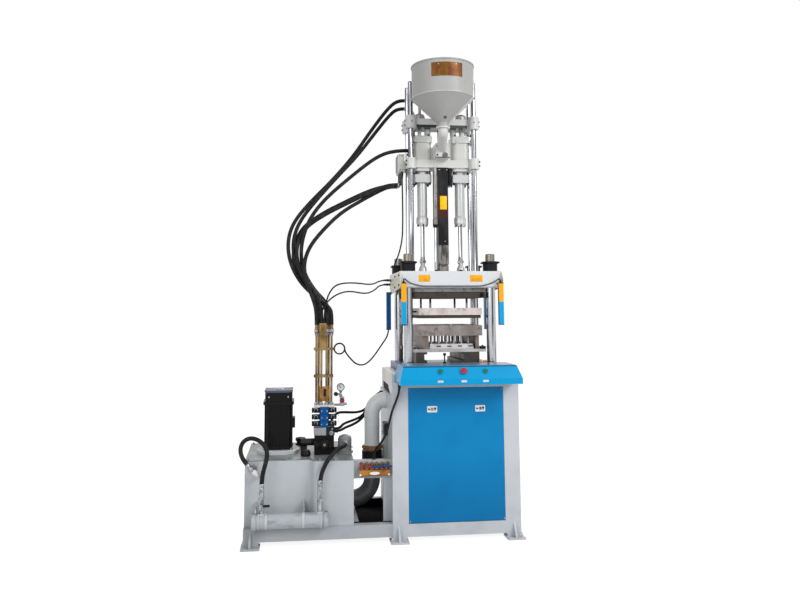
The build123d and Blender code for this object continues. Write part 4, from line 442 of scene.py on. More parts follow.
# Heating plates and their stack. Ground tool steel, browned by heat and marked by moulds, with dark
# insulating boards; the upper plate is painted darker as shade under the head, and the ejector
# plates are brighter, with the slots milled between them painted in as dark shade.
def worn_metal(name, fresh, marked, board=None, roughness=0.38, metal=0.8, shine=0.4):
    """Ground metal with a tint, scratches along X and an insulating board between two heights."""
    finish = Finish(name, fresh, Metallic=metal, Roughness=roughness, Specular_IOR_Level=shine)
    cloud = finish.noise(11.0, 8.0)
    scratches = finish.noise(220.0, 3.0, (0.04, 0.5, 1.0))
    stain = finish.ramp(finish.noise(26.0, 9.0), 0.52, 0.7)
    finish.paint(finish.ramp(cloud, 0.35, 0.7), marked)
    finish.paint(stain * 0.5, [level * 0.7 for level in marked])
    finish.rough = roughness + stain * 0.2 + scratches * 0.1
    if board:
        layer = finish.within(finish.z, *board, 0.0003)
        finish.paint(layer, finish.mixed(finish.noise(400.0), (44, 38, 34), (74, 64, 56)))
        finish.drive("Metallic", metal - layer * metal)
        finish.rough = finish.rough + layer * 0.35
    finish.drive("Roughness", finish.rough)
    finish.bump(scratches, 0.0002, 0.5)
    return finish


# The upper plate's steel is painted darker than the middle plate's: painted shade under the head.
dress(worn_metal("upper_plate_shaded_steel", (138, 137, 138), (100, 96, 94), (1.4233, 1.4975)), "upper_plate")
dress(worn_metal("middle_plate_steel", (200, 191, 187), (172, 161, 156), (1.3283, 1.3483)), "middle_plate")
dress(worn_metal("lower_plate_steel", (152, 145, 142), (120, 111, 107)), "lower_plate")
bolster_steel = worn_metal("bolster_steel", (186, 185, 186), (150, 147, 146))
risers = bolster_steel.fall(bolster_steel.z, 1.1128, 1.1132)
bolster_steel.paint(risers, bolster_steel.mixed(bolster_steel.noise(30.0), (88, 81, 76), (58, 53, 52)))
spacers = bolster_steel.ramp(bolster_steel.z, 1.1324, 1.1328)
bolster_steel.paint(spacers, bolster_steel.mixed(bolster_steel.noise(18.0), (140, 128, 120), (98, 88, 82)))
dress(bolster_steel, "bolster")
ejector = worn_metal("ejector_steel", (206, 204, 205), (172, 168, 167))
between_plates = ejector.within(ejector.z, 1.1448, 1.1524) * ejector.fall(ejector.y, -0.080, -0.078)
# The slots between the ejector plates are painted in as dark stripes: painted shade.
ejector.paint(between_plates * ejector.ramp(ejector.waves("X", 4.49, 1.3), 0.62, 0.66), (22, 20, 20))
dress(ejector, "ejector_set")
dress(enamel("platen_enamel", (24, 62, 104), (20, 44, 72), shine=0.15), "moving_platen")

HEATER_END = [(0, 0), (6, 0), (6, 8), (3, 8), (3, 15), (0, 15)]
heater_ends, middle_heater_ends = Form(), Form()
for z in (1466, 1484):
    heater_ends.turned((206, -249, z), FRONT, [
        (0, 0), (9, 0), (9, 9), (7, 11), (7, 20), (4, 22), (0, 22)], 20)
for y in (-150, -50, 50, 150):
    for ends, plate_edge, z in ((heater_ends, 232, 1476), (middle_heater_ends, 206, 1370)):
        for side in SIDES:
            ends.turned((side * plate_edge, y, z), (side, 0, 0), HEATER_END, 16)
piece("heater_ends", heater_ends, blackened, "frame")
piece("middle_heater_ends", middle_heater_ends, blackened, "floating_plate")
lower_stud = Form()
lower_stud.turned((1, -250, 1272), FRONT, [(0, 0), (9, 0), (9, 2), (5, 3), (5, 13), (0, 13)], 22)
lower_stud.turned((1, -260, 1268), UP, [(0, 0), (6, 0), (6, 17), (8, 18), (8, 21), (5, 23), (0, 23)], 22)
piece("lower_plate_stud", lower_stud, zinc, "clamp_table")

BOLSTER_TOP = 1132.3
stack_screws = Form()
for x in (-218, -195, 195, 218):
    for y in (-150, 150):
        stack_screws.cap_screw((x, y, BOLSTER_TOP), UP, 7, 7)
stack_screws.slab((192, -247, BOLSTER_TOP), (229, -215, 1150), 2)
stack_screws.cap_screw((210, -231, 1150), UP, 6, 6)
for x in (-206, -166, 86, 174):
    stack_screws.cap_screw((x, -200, 1046), FRONT, 5, 5)
piece("stack_screws", stack_screws, blackened, "clamp_table")

PLATEN_TOP = 1030.3
brass = worn_metal("brass", (186, 142, 82), (128, 90, 48), roughness=0.3)
table_fittings = Form()
table_fittings.hexagon((206, -228, PLATEN_TOP), UP, 26, 12)
table_fittings.turned((206, -228, 1042), UP, [(0, 0), (9, 0), (9, 14), (7, 18), (0, 18)], 24)
table_fittings.turned((206, -228, 1052), RIGHT, [(0, 0), (8, 0), (8, 22), (10, 22), (10, 32), (0, 32)], 24)
for y in (-210, -170):
    table_fittings.hexagon((-239, y, PLATEN_TOP), UP, 22, 10)
piece("table_fittings", table_fittings, brass, "clamp_table")


# Guide bars, piston rods and the ram. Hard chromed and ground steel with dark streaks along it that
# are painted reflections; the guide bars are blackened at their tops, and the shift rods stand on
# bells of bare cast steel.
chrome = Finish("hard_chrome", (200, 202, 205), Metallic=1.0, Roughness=0.12)
chrome_reflection_streaks = chrome.noise(62.0, 3.0, (1.0, 1.0, 0.03))
# Dark streaks along the chrome are painted reflections; the same streaks also vary its roughness.
chrome.paint(chrome.ramp(chrome_reflection_streaks, 0.46, 0.58), (104, 106, 111))
chrome.paint(chrome.ramp(chrome.z, 2.9335, 2.9345), (40, 41, 44))
chrome.drive("Roughness", 0.08 + chrome_reflection_streaks * 0.12)
dress(chrome, "guide_bars", "ram")
rod_finish = Finish("piston_rods", (206, 208, 210), Metallic=1.0, Roughness=0.14)
# Dark streaks along the piston rods are painted reflections.
rod_finish.mottle((128, 130, 134), 90.0, 0.48, 0.6, 3.0, (1.0, 1.0, 0.03))
on_bells = rod_finish.fall(rod_finish.z, 1.7018, 1.7026)
bell_marks = rod_finish.noise(50.0, 5.0, (0.3, 0.3, 4.0))
rod_finish.paint(on_bells, rod_finish.mixed(bell_marks, (204, 204, 201), (160, 160, 158)))
rod_finish.drive("Metallic", 1 - on_bells * 0.55)
rod_finish.drive("Roughness", 0.12 + on_bells * 0.3)
dress(rod_finish, "shift_rods")
injection_finish = Finish("injection_rods", (190, 191, 192), Metallic=0.7, Roughness=0.34)
injection_finish.mottle((142, 143, 145), 70.0, 0.48, 0.6, 3.0, (1.0, 1.0, 0.05))
domed_nuts = injection_finish.ramp(injection_finish.z, 2.6872, 2.6878)
injection_finish.paint(domed_nuts, (168, 170, 168))
injection_finish.paint(injection_finish.ramp(injection_finish.z, 2.720, 2.7215), (62, 62, 60))
injection_finish.drive("Metallic", 0.7 - domed_nuts * 0.5)
dress(injection_finish, "injection_rods")

# The injection unit's middle lies behind the press's own axis.
UNIT_Y = 25
SHIFT_XS = (-131, 131)
rod_nuts = Form()
for x in SHIFT_XS:
    rod_nuts.hexagon((x, UNIT_Y, 1700), UP, 40, 16)
    rod_nuts.turned((x, UNIT_Y, 1715), UP, [(0, 0), (17, 0), (17, 9), (14.6, 12), (14.6, 26), (0, 26)], 28)
piece("rod_nuts", rod_nuts, zinc, "frame")


# Injection carriage. An iron casting, fettled, filled and enamelled in light grey over its sand
# skin, with two shift cylinders and a port box; blackened bolts and studs hold it together.
CARRIAGE_BODY = "injection_carriage"
cast_grey = enamel("cast_enamel", (204, 204, 201), (186, 186, 183), ripple=0.0011, dirt_top=0.01)
dress(cast_grey, "carriage_casting", "feed_chute")
cylinder_finish = enamel(
    "cylinder_enamel", (192, 194, 194), (178, 180, 180), ripple=0.0002, roughness=0.24, dirt_top=0.01)
sensor_x = cylinder_finish.x - 0.386
sensor_y = cylinder_finish.y - 0.0625
on_sensor = cylinder_finish.fall(sensor_x * sensor_x + sensor_y * sensor_y, 0.00034, 0.00036)
bare_tube = cylinder_finish.mixed(cylinder_finish.noise(20.0), (74, 69, 67), (146, 142, 140))
cylinder_finish.paint(on_sensor, bare_tube)
cylinder_feet = cylinder_finish.fall(cylinder_finish.z, 1.9896, 1.9902)
cylinder_finish.paint(cylinder_feet * (1 - on_sensor), (206, 206, 204))
cylinder_finish.drive("Metallic", 0.15 + on_sensor * 0.55)
dress(cylinder_finish, "shift_cylinders")
box_finish = enamel("port_box_enamel", (196, 197, 194), dirt_top=0.01)
box_finish.paint(box_finish.fall(box_finish.x, 0.1372, 0.1376), (38, 38, 40))
box_finish.paint(box_finish.fall(box_finish.z, 2.3225, 2.3228), (34, 34, 36))
dress(box_finish, "junction_box")

STUD = 4.6
INJECTION_XS = (-146, 146)
carriage_bolts, lip_nuts = Form(), Form()
for cylinder_x in INJECTION_XS:
    for x, y in corners(54, 54):
        carriage_bolts.bolt((cylinder_x + x, UNIT_Y + y, 2569), UP, 15, 9)
    for x, y in corners(57, 57):
        lip_nuts.hexagon((cylinder_x + x, UNIT_Y + y, 2522), DOWN, 15, 9)
        lip_nuts.stub((cylinder_x + x, UNIT_Y + y, 2513), DOWN, STUD, 9, 14)
for cylinder_x in SHIFT_XS:
    for x, y in corners(48, 41):
        stud_x, stud_y = cylinder_x + x, UNIT_Y + y
        carriage_bolts.hexagon((stud_x, stud_y, 2247), DOWN, 16, 10)
        carriage_bolts.stub((stud_x, stud_y, 2237), DOWN, STUD, 8, 14)
        carriage_bolts.turned((stud_x, stud_y, 2302), UP, [
            (0, 0), (8, 0), (8, 8), (5, 8), (5, 43), (0, 43)], 16)
    for turn in range(6):
        angle = math.radians(30 + 60 * turn)
        foot = (cylinder_x + 33 * math.cos(angle), UNIT_Y + 33 * math.sin(angle), 1964)
        carriage_bolts.cap_screw(foot, DOWN, 6, 15)
for z in (2476, 2419):
    carriage_bolts.cap_screw((-48, -120, z), FRONT, 6, 5)
carriage_bolts.slab((40, -32, 2226), (68, 58, 2347), 2.5)
carriage_bolts.slab((43, -38, 2240), (66, -31, 2330), 1.5)
carriage_bolts.hexagon((-54, -50, 1956), DOWN, 34, 15)
carriage_bolts.turned((-54, -50, 1941), DOWN, [(10.4, 0), (15, 0), (15, 6), (12, 9), (10.4, 9)], 28)
for x in (-270, -287):
    for z in (2336, 2430):
        carriage_bolts.cap_screw((x, -10, z), FRONT, 3.4, 3)
for side in SIDES:
    for z in (2358, 2385):
        carriage_bolts.cap_screw((side * 252.5, -66, z), FRONT, 6, 6)
piece("carriage_bolts", carriage_bolts, blackened, CARRIAGE_BODY)
piece("lip_nuts", lip_nuts, zinc, CARRIAGE_BODY)

flange_lips = Form()
for x in INJECTION_XS:
    lip = bmesh.new()
    bmesh.ops.create_cube(lip, size=1.0)
    bmesh.ops.scale(lip, vec=(0.136, 0.136, 0.021), verts=lip.verts)
    uprights = [edge for edge in lip.edges if abs(edge.verts[0].co.z - edge.verts[1].co.z) > 0.001]
    bmesh.ops.bevel(lip, geom=uprights, offset=0.026, segments=8, profile=0.5, affect="EDGES", material=-1)
    flange_lips.join(lip, Matrix.Translation(at(x, UNIT_Y, 2532.5)))
piece("flange_lips", flange_lips, cast_grey, CARRIAGE_BODY)
feed_plug = Form()
feed_plug.turned((4, -120, 2418), FRONT, [(0, 3), (6, 3), (7, 5), (16, 5), (19, 3), (19, 0), (0, 0)], 32)
feed_plug.slab((-64, -122, 2399), (38, -119, 2406), 1)
plug_finish = worn_metal("plug_steel", (98, 105, 108), (72, 78, 80), roughness=0.45, metal=0.3, shine=0.2)
piece("feed_plug", feed_plug, plug_finish, CARRIAGE_BODY)


# Crosshead and screw motor. A cast beam in the same enamel, with painted shade under its middle,
# clamped to its sleeves by screws; the black motor is bolted to the flange on top.
CROSSHEAD_BODY = "injection_crosshead"
crosshead_finish = enamel("crosshead_enamel", (206, 207, 206), ripple=0.0011, dirt_top=0.01)
shade_under_beam = crosshead_finish.fall(crosshead_finish.z, 2.6440, 2.6455)
between_sleeves = crosshead_finish.fall(crosshead_finish.off_middle(), 0.176, 0.177)
# A dark band under the beam, between its sleeves, is painted shade.
crosshead_finish.paint(shade_under_beam * between_sleeves, (50, 58, 56))
below_band = crosshead_finish.fall(crosshead_finish.z, 2.6238, 2.6244)
crosshead_finish.paint(below_band * between_sleeves, (192, 193, 193))
dress(crosshead_finish, "crosshead")
crosshead_screws = Form()
for side in SIDES:
    for y in (-50, 100):
        for z in (2668, 2636):
            crosshead_screws.cap_screw((side * 254.5, y, z), (side, 0, 0), 6, 6)
    crosshead_screws.cap_screw((side * 214.5, -84, 2656), FRONT, 5, 4)
for x in (-90, 90):
    crosshead_screws.hexagon((x, UNIT_Y, 2687.5), UP, 30, 14)
piece("crosshead_screws", crosshead_screws, blackened, CROSSHEAD_BODY)
dress(enamel("motor_black", (40, 38, 40), (26, 24, 26), dirt_top=0.01, shine=0.12), "screw_motor")
flange_screws = Form()
for x, y in corners(44, 44):
    flange_screws.cap_screw((x, UNIT_Y + y, 2717.5), UP, 7, 7)
piece("motor_flange_screws", flange_screws, zinc, CROSSHEAD_BODY)


# Barrel with its nozzle, and the folded cover in front of it. The cover is black above with a bare
# yellow plate, and its lower part is bare sheet, heat marked and streaked.
dress(worn_metal("barrel_steel", (150, 140, 132), (96, 84, 76)), "barrel")
cover = Finish("barrel_cover", (16, 17, 18), Roughness=0.38, Specular_IOR_Level=0.15)
smear = cover.noise(18.0, 6.0, (1.0, 1.0, 0.35))
cover.paint(cover.ramp(smear, 0.4, 0.7), (40, 40, 42))
warm_band = cover.within(cover.z, 2.006, 2.158, 0.004) * cover.fall(cover.y, 0.0578, 0.058)
cover.paint(warm_band * 0.75, (76, 22, 22))
bare_sheet = cover.fall(cover.z, 1.812, 1.816)
slanted_place = cover.add("Mapping", {}, {0: cover.place, 2: (0, 0.7, 0), 3: (1.0, 1.0, 0.18)})
slanted = cover.add("TexNoise", {}, {"Vector": slanted_place, "Scale": 55.0})
cover.paint(bare_sheet, cover.mixed(cover.ramp(slanted, 0.4, 0.6), (124, 122, 118), (62, 60, 58)))
cover.drive("Metallic", bare_sheet * 0.6)
cover.drive("Roughness", 0.34 + smear * 0.2)
dress(cover, "barrel_cover")
cover_plate = Form()
cover_plate.slab((-22, -56.2, 2057), (25, -54.5, 2149), 0.5)
yellow = Finish("yellow_plate", (240, 196, 14), Roughness=0.4, Specular_IOR_Level=0.2)
yellow.mottle((214, 168, 22), 60.0, 0.5, 0.75, 5.0)
piece("cover_plate", cover_plate, yellow, CARRIAGE_BODY)
cover_screws = Form()
for x, z in ((-27, 2330), (27, 2330), (-27, 1700), (27, 1700), (10, 1841)):
    cover_screws.turned((x, -55, z), FRONT, [(0, 2), (3, 1.6), (4.5, 0), (0, 0)], 18)
piece("cover_screws", cover_screws, zinc, CARRIAGE_BODY)


# Hopper. Spun from steel sheet with a rolled rim and painted, with a seam strip down its cone, a
# bare gilt plate riveted to its drum and a plugged hole near its neck.
HOPPER_X, HOPPER_Y = -38, -275
DRUM_FOOT = 2754
DRUM_OUT, NECK_OUT = 204.5, 41.0
PLATE_LOW, PLATE_HIGH = 2.851, 2.941
PLATE_IN, PLATE_OUT = 0.2032, 0.2045
hopper_finish = enamel(
    "hopper_enamel", (168, 168, 166), (154, 154, 152),
    roughness=0.42, ripple=0.0004, dirt_top=0.01, shine=0.15)
dress(hopper_finish, "hopper")
seam = Form()
seam_angle = math.radians(-24)
seam_x, seam_y = math.cos(seam_angle), math.sin(seam_angle)
seam.strip(
    (HOPPER_X + DRUM_OUT * seam_x, HOPPER_Y + DRUM_OUT * seam_y, DRUM_FOOT),
    (HOPPER_X + NECK_OUT * seam_x, HOPPER_Y + NECK_OUT * seam_y, 2596),
    (seam_x * 0.7, seam_y * 0.7, -0.72), 20, 2.4)
seam.turned((HOPPER_X, HOPPER_Y, DRUM_FOOT - 2), UP, [(203, 0), (205.4, 1.5), (205.4, 4.5), (203, 6)], 96)
seam_finish = enamel("seam_enamel", (204, 205, 204), dirt_top=0.01)
piece("hopper_seam", seam, seam_finish, CARRIAGE_BODY)
wrap = bmesh.new()
wrap.faces.new([wrap.verts.new((radius, 0, height)) for radius, height in (
    (PLATE_IN, PLATE_LOW), (PLATE_OUT, PLATE_LOW), (PLATE_OUT, PLATE_HIGH), (PLATE_IN, PLATE_HIGH))])
bmesh.ops.rotate(wrap, cent=(0, 0, 0), matrix=Matrix.Rotation(math.radians(-121), 3, "Z"), verts=wrap.verts)
bmesh.ops.spin(wrap, geom=wrap.faces[:], cent=(0, 0, 0), axis=(0, 0, 1), angle=math.radians(58), steps=20)
bmesh.ops.holes_fill(wrap, edges=[edge for edge in wrap.edges if edge.is_boundary], sides=4)
drum_plate = Form()
drum_plate.join(wrap, Matrix.Translation(at(HOPPER_X, HOPPER_Y, 0)))
gilt = Finish("gilt_plate", (126, 78, 20), Metallic=0.2, Roughness=0.4, Specular_IOR_Level=0.2)
gilt.mottle((104, 44, 14), 24.0, 0.4, 0.65, 6.0, (1, 1, 0.4))
gilt.paint(gilt.ramp(gilt.noise(90.0, 4.0), 0.5, 0.6) * 0.8, (80, 74, 20))
piece("drum_plate", drum_plate, gilt, CARRIAGE_BODY)
rivets = Form()
for turn in (-108, -76):
    way = (math.cos(math.radians(turn)), math.sin(math.radians(turn)), 0)
    foot = (HOPPER_X + 204 * way[0], HOPPER_Y + 204 * way[1], 2929)
    rivets.turned(foot, way, [(0, 3), (3.5, 2.4), (5.5, 0.3), (0, 0)], 18)
piece("drum_rivets", rivets, zinc, CARRIAGE_BODY)
cone_plug = Form()
cone_plug.turned((-36, -340, 2620), (0, -0.697, -0.717), [
    (0, 1), (3, 1), (4, 3.5), (8, 3.5), (11, 1.5), (11, -2), (0, -2)], 28)
piece("cone_plug", cone_plug, plug_finish, CARRIAGE_BODY)


# Steel pipes on the carriage. Drawn tube, bent, with a cutting ring nut at each end and a strap that
# holds the two long ones together.
PIPE_Y = 165
HOSE_PORT_YS = (10, 50, 90)
dress(worn_metal("drawn_tube", (160, 160, 160), (112, 110, 108)), "riser_pipes")
pipe_nuts = Form()
for x, z, end_x in ((-120, 2868, -230), (-165, 2808, -234)):
    pipe_nuts.hexagon((x, PIPE_Y, 2399), UP, 30, 22)
    pipe_nuts.hexagon((end_x, PIPE_Y, z), RIGHT, 27, 20)
    pipe_nuts.strip((x - 24, PIPE_Y - 12, 2600), (x + 24, PIPE_Y - 12, 2600), (0, 1, 0), 14, 3)
pipe_nuts.hexagon((-194, UNIT_Y, 2475), LEFT, 28, 14)
for y in HOSE_PORT_YS:
    pipe_nuts.hexagon((-287, y, 2323), DOWN, 26, 14)
    pipe_nuts.hexagon((-303, y, 2232), RIGHT, 26, 10)
piece("pipe_nuts", pipe_nuts, zinc, CARRIAGE_BODY)


# Console. A folded steel hood in bright blue enamel, with a pale worktop sheet, turned bezels round
# its three buttons, a bare plate under each, and a black stop pin that stands at its back.
HOOD_TOP = 1051
GREEN, RED = (14, 122, 92), (190, 44, 60)
console_finish = enamel("blue_enamel", (4, 150, 205), (3, 132, 186), roughness=0.28, shine=0.12)
hood_face = console_finish.fall(console_finish.y, -0.41, -0.409)
# A dark band along the top of the hood's front slope is painted shadow under its fold.
console_finish.paint(console_finish.within(console_finish.z, 1.0415, 1.0476) * hood_face, (4, 84, 124))
worktop = console_finish.mixed(console_finish.noise(14.0), (74, 104, 128), (112, 138, 158))
console_finish.paint(console_finish.ramp(console_finish.z, 1.0481, 1.0483), worktop)
dress(console_finish, "console")
for button, shade in (("start_button_left", GREEN), ("start_button_right", GREEN), ("stop_button", RED)):
    plastic = Finish(button + "_plastic", shade, Roughness=0.3, Specular_IOR_Level=0.2, Coat_Weight=0.1)
    plastic.paint(plastic.noise(90.0), [level * 0.75 for level in shade])
    plastic.bump(plastic.noise(500.0, 2.0), 0.0001)
    dress(plastic, button)
button_plates = Form()
for x in (-130, 12, 144):
    button_plates.slab((x - 17, -571.2, 955), (x + 17, -569.5, 967), 0.4)
pale = Finish("pale_plate", (206, 190, 202), Roughness=0.45)
pale.mottle((236, 226, 232), 80.0, 0.4, 0.7, 5.0)
piece("button_plates", button_plates, pale, "frame")
hood_screws = Form()
for side in SIDES:
    for y in (-520, -430, -340):
        hood_screws.turned((side * 370, y, 957), (side, 0, 0), [(0, 2.6), (3, 2.4), (5, 0), (0, 0)], 18)
for x in (-320, -110, 110, 320):
    hood_screws.turned((x, -505, HOOD_TOP), UP, [(0, 2.4), (3, 2.2), (5, 0), (0, 0)], 18)
for z in (894, 118):
    for x in (-289, 289):
        hood_screws.cap_screw((x, -385, z), FRONT, 4, 3)
piece("hood_screws", hood_screws, zinc, "frame")
stop_pin = Form()
stop_pin.hexagon((-54, -312, HOOD_TOP), UP, 20, 7)
stop_pin.turned((-54, -312, HOOD_TOP + 6), UP, [
    (0, 0), (4.2, 0), (4.2, 38), (6, 39), (9.5, 42), (10.5, 47), (9, 52), (5, 55), (0, 56)], 28)
piece("stop_pin", stop_pin, blackened, "frame")


# Front panel. A shallow steel pan in a deeper blue, with a pale plate round each lock, a black pull
# and keyhole on the plate, and a slotted chrome barrel in it.
LOCKS = ((-150, "panel_lock_left", "key_slot_left"), (150, "panel_lock_right", "key_slot_right"))
LOCK_Z = 778
panel_finish = enamel("panel_enamel", (4, 128, 186), (3, 106, 160), roughness=0.3, dirt_top=0.55, shine=0.12)
panel_finish.paint(panel_finish.fall(panel_finish.z, 0.12, 0.62) * 0.65, (2, 104, 158))
panel_finish.paint(panel_finish.fall(panel_finish.y, -0.2728, -0.2726), (224, 228, 232))
dress(panel_finish, "front_panel")
lock_pulls = Form()
for x, lock, key_slot in LOCKS:
    dress(chrome, lock)
    slot_form = Form()
    slot_form.slab((x - 1.4, -391.6, LOCK_Z - 7), (x + 1.4, -390.4, LOCK_Z + 7), 0.3)
    slot_form.turned((x, -390.9, LOCK_Z), FRONT, [(5.4, 0), (8.4, 0), (8.4, 0.7), (5.4, 0.7), (5.4, 0)], 28)
    piece(key_slot, slot_form, blackened, lock)
    lock_pulls.slab((x - 26, -389.8, LOCK_Z - 4), (x - 13, -388.6, LOCK_Z + 4), 0.5)
    lock_pulls.turned((x + 18, -388.8, LOCK_Z + 4), FRONT, [(0, 1), (6, 1), (7, 0.2), (7, 0), (0, 0)], 24)
    lock_pulls.slab((x + 15.5, -389.8, LOCK_Z - 10), (x + 20.5, -388.6, LOCK_Z + 2), 0.5)
piece("lock_pulls", lock_pulls, blackened, "front_panel")


# Oil tank. Welded from plate in the light grey enamel, duller than the press, its oily lid bolted
# down on a cork joint; the return filter, two caps and the cooler's inlet elbow stand on it.
LID_TOP = 490
FILTER_X, FILTER_Y = -670, -150
tank_finish = enamel("tank_enamel", (184, 189, 194), (156, 160, 162), dirt_top=0.35)
oil_film = tank_finish.ramp(tank_finish.noise(16.0, 8.0), 0.4, 0.7)
on_lid = tank_finish.ramp(tank_finish.z, 0.4845, 0.4848)
tank_finish.paint(on_lid * 0.8, tank_finish.mixed(oil_film, (116, 122, 119), (62, 66, 64)))
before_wall = tank_finish.fall(tank_finish.y, -0.2700, -0.2695)
tank_finish.paint(before_wall * tank_finish.within(tank_finish.z, 0.40, 0.475), (214, 216, 218))
dress(tank_finish, "oil_tank")
lid_bolts = Form()
for x in (-1262, -1150, -1030, -915):
    for y in (-312, 236):
        lid_bolts.bolt((x, y, LID_TOP), UP, 13, 7)
for x in (-820, -730, -642):
    lid_bolts.bolt((x, 236, LID_TOP), UP, 13, 7)
for x in (-830, -745):
    lid_bolts.bolt((x, -362, LID_TOP), UP, 13, 7)
for turn in range(6):
    angle = math.radians(60 * turn)
    foot = (FILTER_X + 47.5 * math.cos(angle), FILTER_Y + 47.5 * math.sin(angle), 520)
    lid_bolts.cap_screw(foot, UP, 5, 5)
lid_bolts.hexagon((FILTER_X, FILTER_Y - 56, 560), FRONT, 36, 14)
lid_bolts.hexagon((-1225, -332, 445), FRONT, 38, 16)
piece("lid_bolts", lid_bolts, zinc, "frame")
caps = Form()
caps.turned((-948, 160, LID_TOP), UP, [
    (0, 0), (34, 0), (34, 8), (26, 9), (26, 24), (33, 26), (35, 40), (31, 46), (12, 49), (0, 49)], 40)
caps.turned((-915, -232, LID_TOP), UP, [(0, 0), (26, 0), (30, 6), (30, 20), (24, 34), (10, 40), (0, 41)], 36)
piece("filler_cap", caps, blackened, "frame")


# Drip tray. A pan folded from thin sheet, hung by its lips on the skid's rails between the tank and
# the press, black.
TRAY_LEFT, TRAY_RIGHT, TRAY_FRONT, TRAY_REAR = -625, -399, -318, 198
TRAY_FOOT, TRAY_TOP, SHEET = 60, 112, 2
tray_finish = Finish("black_sheet", (20, 19, 19), Roughness=0.85, Specular_IOR_Level=0.04)
tray_finish.mottle((38, 36, 35), 9.0, 0.45, 0.7, 6.0)
drip_tray = Form()
for x0, x1, y0, y1, z0, z1 in (
    (TRAY_LEFT, TRAY_RIGHT, TRAY_FRONT, TRAY_REAR, TRAY_FOOT, TRAY_FOOT + SHEET),
    (TRAY_LEFT, TRAY_RIGHT, TRAY_FRONT - SHEET, TRAY_FRONT, TRAY_FOOT, TRAY_TOP),
    (TRAY_LEFT, TRAY_RIGHT, TRAY_REAR, TRAY_REAR + SHEET, TRAY_FOOT, TRAY_TOP),
    (TRAY_LEFT - SHEET, TRAY_LEFT, TRAY_FRONT - SHEET, TRAY_REAR + SHEET, TRAY_FOOT, TRAY_TOP),
    (TRAY_RIGHT, TRAY_RIGHT + SHEET, TRAY_FRONT - SHEET, TRAY_REAR + SHEET, TRAY_FOOT, TRAY_TOP),
    (TRAY_LEFT, TRAY_RIGHT, TRAY_FRONT - 22, TRAY_FRONT, TRAY_TOP - 1.8, TRAY_TOP),
    (TRAY_LEFT, TRAY_RIGHT, TRAY_REAR, TRAY_REAR + 24, TRAY_TOP - 1.8, TRAY_TOP),
):
    drip_tray.slab((x0, y0, z0), (x1, y1, z1), 0.4)
piece("drip_tray", drip_tray, tray_finish, "frame")


# Oil cooler. A steel shell with cast end covers bolted on through flanges, two ports on top and two
# clamping bands, in the grey enamel; its ball valve, with a black lever, and hose ends are plated.
COOLER_Y, COOLER_Z = -430, 162
INLET_X, OUTLET_X = -1171, -832
cooler_finish = enamel("cooler_enamel", (180, 184, 189), (138, 142, 146), shine=0.2)
rubbed = cooler_finish.ramp(cooler_finish.noise(26.0, 7.0, (0.4, 1.0, 1.0)), 0.5, 0.72)
cooler_finish.paint(rubbed * 0.55, (118, 122, 126))
for joint in (-0.711, -0.695, -0.496, -0.480, -0.7435, -0.7505, -0.3805, -0.3735):
    seam_share = cooler_finish.within(cooler_finish.x, joint - 0.0012, joint + 0.0012)
    cooler_finish.paint(seam_share * 0.8, (84, 88, 92))
above_shell = cooler_finish.ramp(cooler_finish.z, 0.2065, 0.2075)
plated = above_shell * cooler_finish.fall(cooler_finish.y, -0.292, -0.2915)
plating_cloud = cooler_finish.ramp(cooler_finish.noise(70.0, 4.0, (1.0, 1.0, 0.3)), 0.42, 0.6)
cooler_finish.paint(plated, cooler_finish.mixed(plating_cloud, (182, 183, 184), (122, 124, 127)))
cooler_finish.drive("Metallic", plated * 0.85)
dress(cooler_finish, "oil_cooler")
bands = Form()
for x in (-1143, -928):
    bands.turned((x - 8, COOLER_Y, COOLER_Z), RIGHT, [(42.2, 0), (43.6, 0.6), (43.6, 15.4), (42.2, 16)], 56)
for x, way in ((-1190.5, RIGHT), (-820.5, LEFT)):
    bands.turned((x, COOLER_Y, COOLER_Z), way, [(42.2, 0), (46, 0), (46, 7), (42.2, 7)], 56)
for x in (OUTLET_X, INLET_X):
    bands.turned((x, COOLER_Y, 200), UP, [(15.2, 0), (20, 0), (20, 8), (15.2, 10)], 36)
band_finish = enamel("band_enamel", (198, 202, 206), (150, 154, 156))
piece("cooler_bands", bands, band_finish, "frame")
cooler_nuts = Form()
for x, way in ((-1209, LEFT), (-801, RIGHT)):
    for turn in range(6):
        angle = math.radians(60 * turn + 30)
        foot = (x, COOLER_Y + 36 * math.cos(angle), COOLER_Z + 36 * math.sin(angle))
        cooler_nuts.hexagon(foot, way, 12, 7)
for x, z, across, height in ((INLET_X, 288, 36, 14), (INLET_X, 226, 36, 14), (OUTLET_X, 268, 34, 16)):
    cooler_nuts.hexagon((x, COOLER_Y, z), UP, across, height)
cooler_nuts.hexagon((INLET_X, -456, 257), FRONT, 12, 5)
piece("cooler_nuts", cooler_nuts, zinc, "frame")
lever_black = enamel("lever_black", (22, 22, 24), (30, 30, 32), dirt_top=0.01, shine=0.12)
dress(lever_black, "cooler_lever")
cooler_grip = Form()
cooler_grip.slab((-1159, -461.6, 250), (-1122, -455.2, 264), 2.5)
piece("cooler_grip", cooler_grip, lever_black, "cooler_lever")


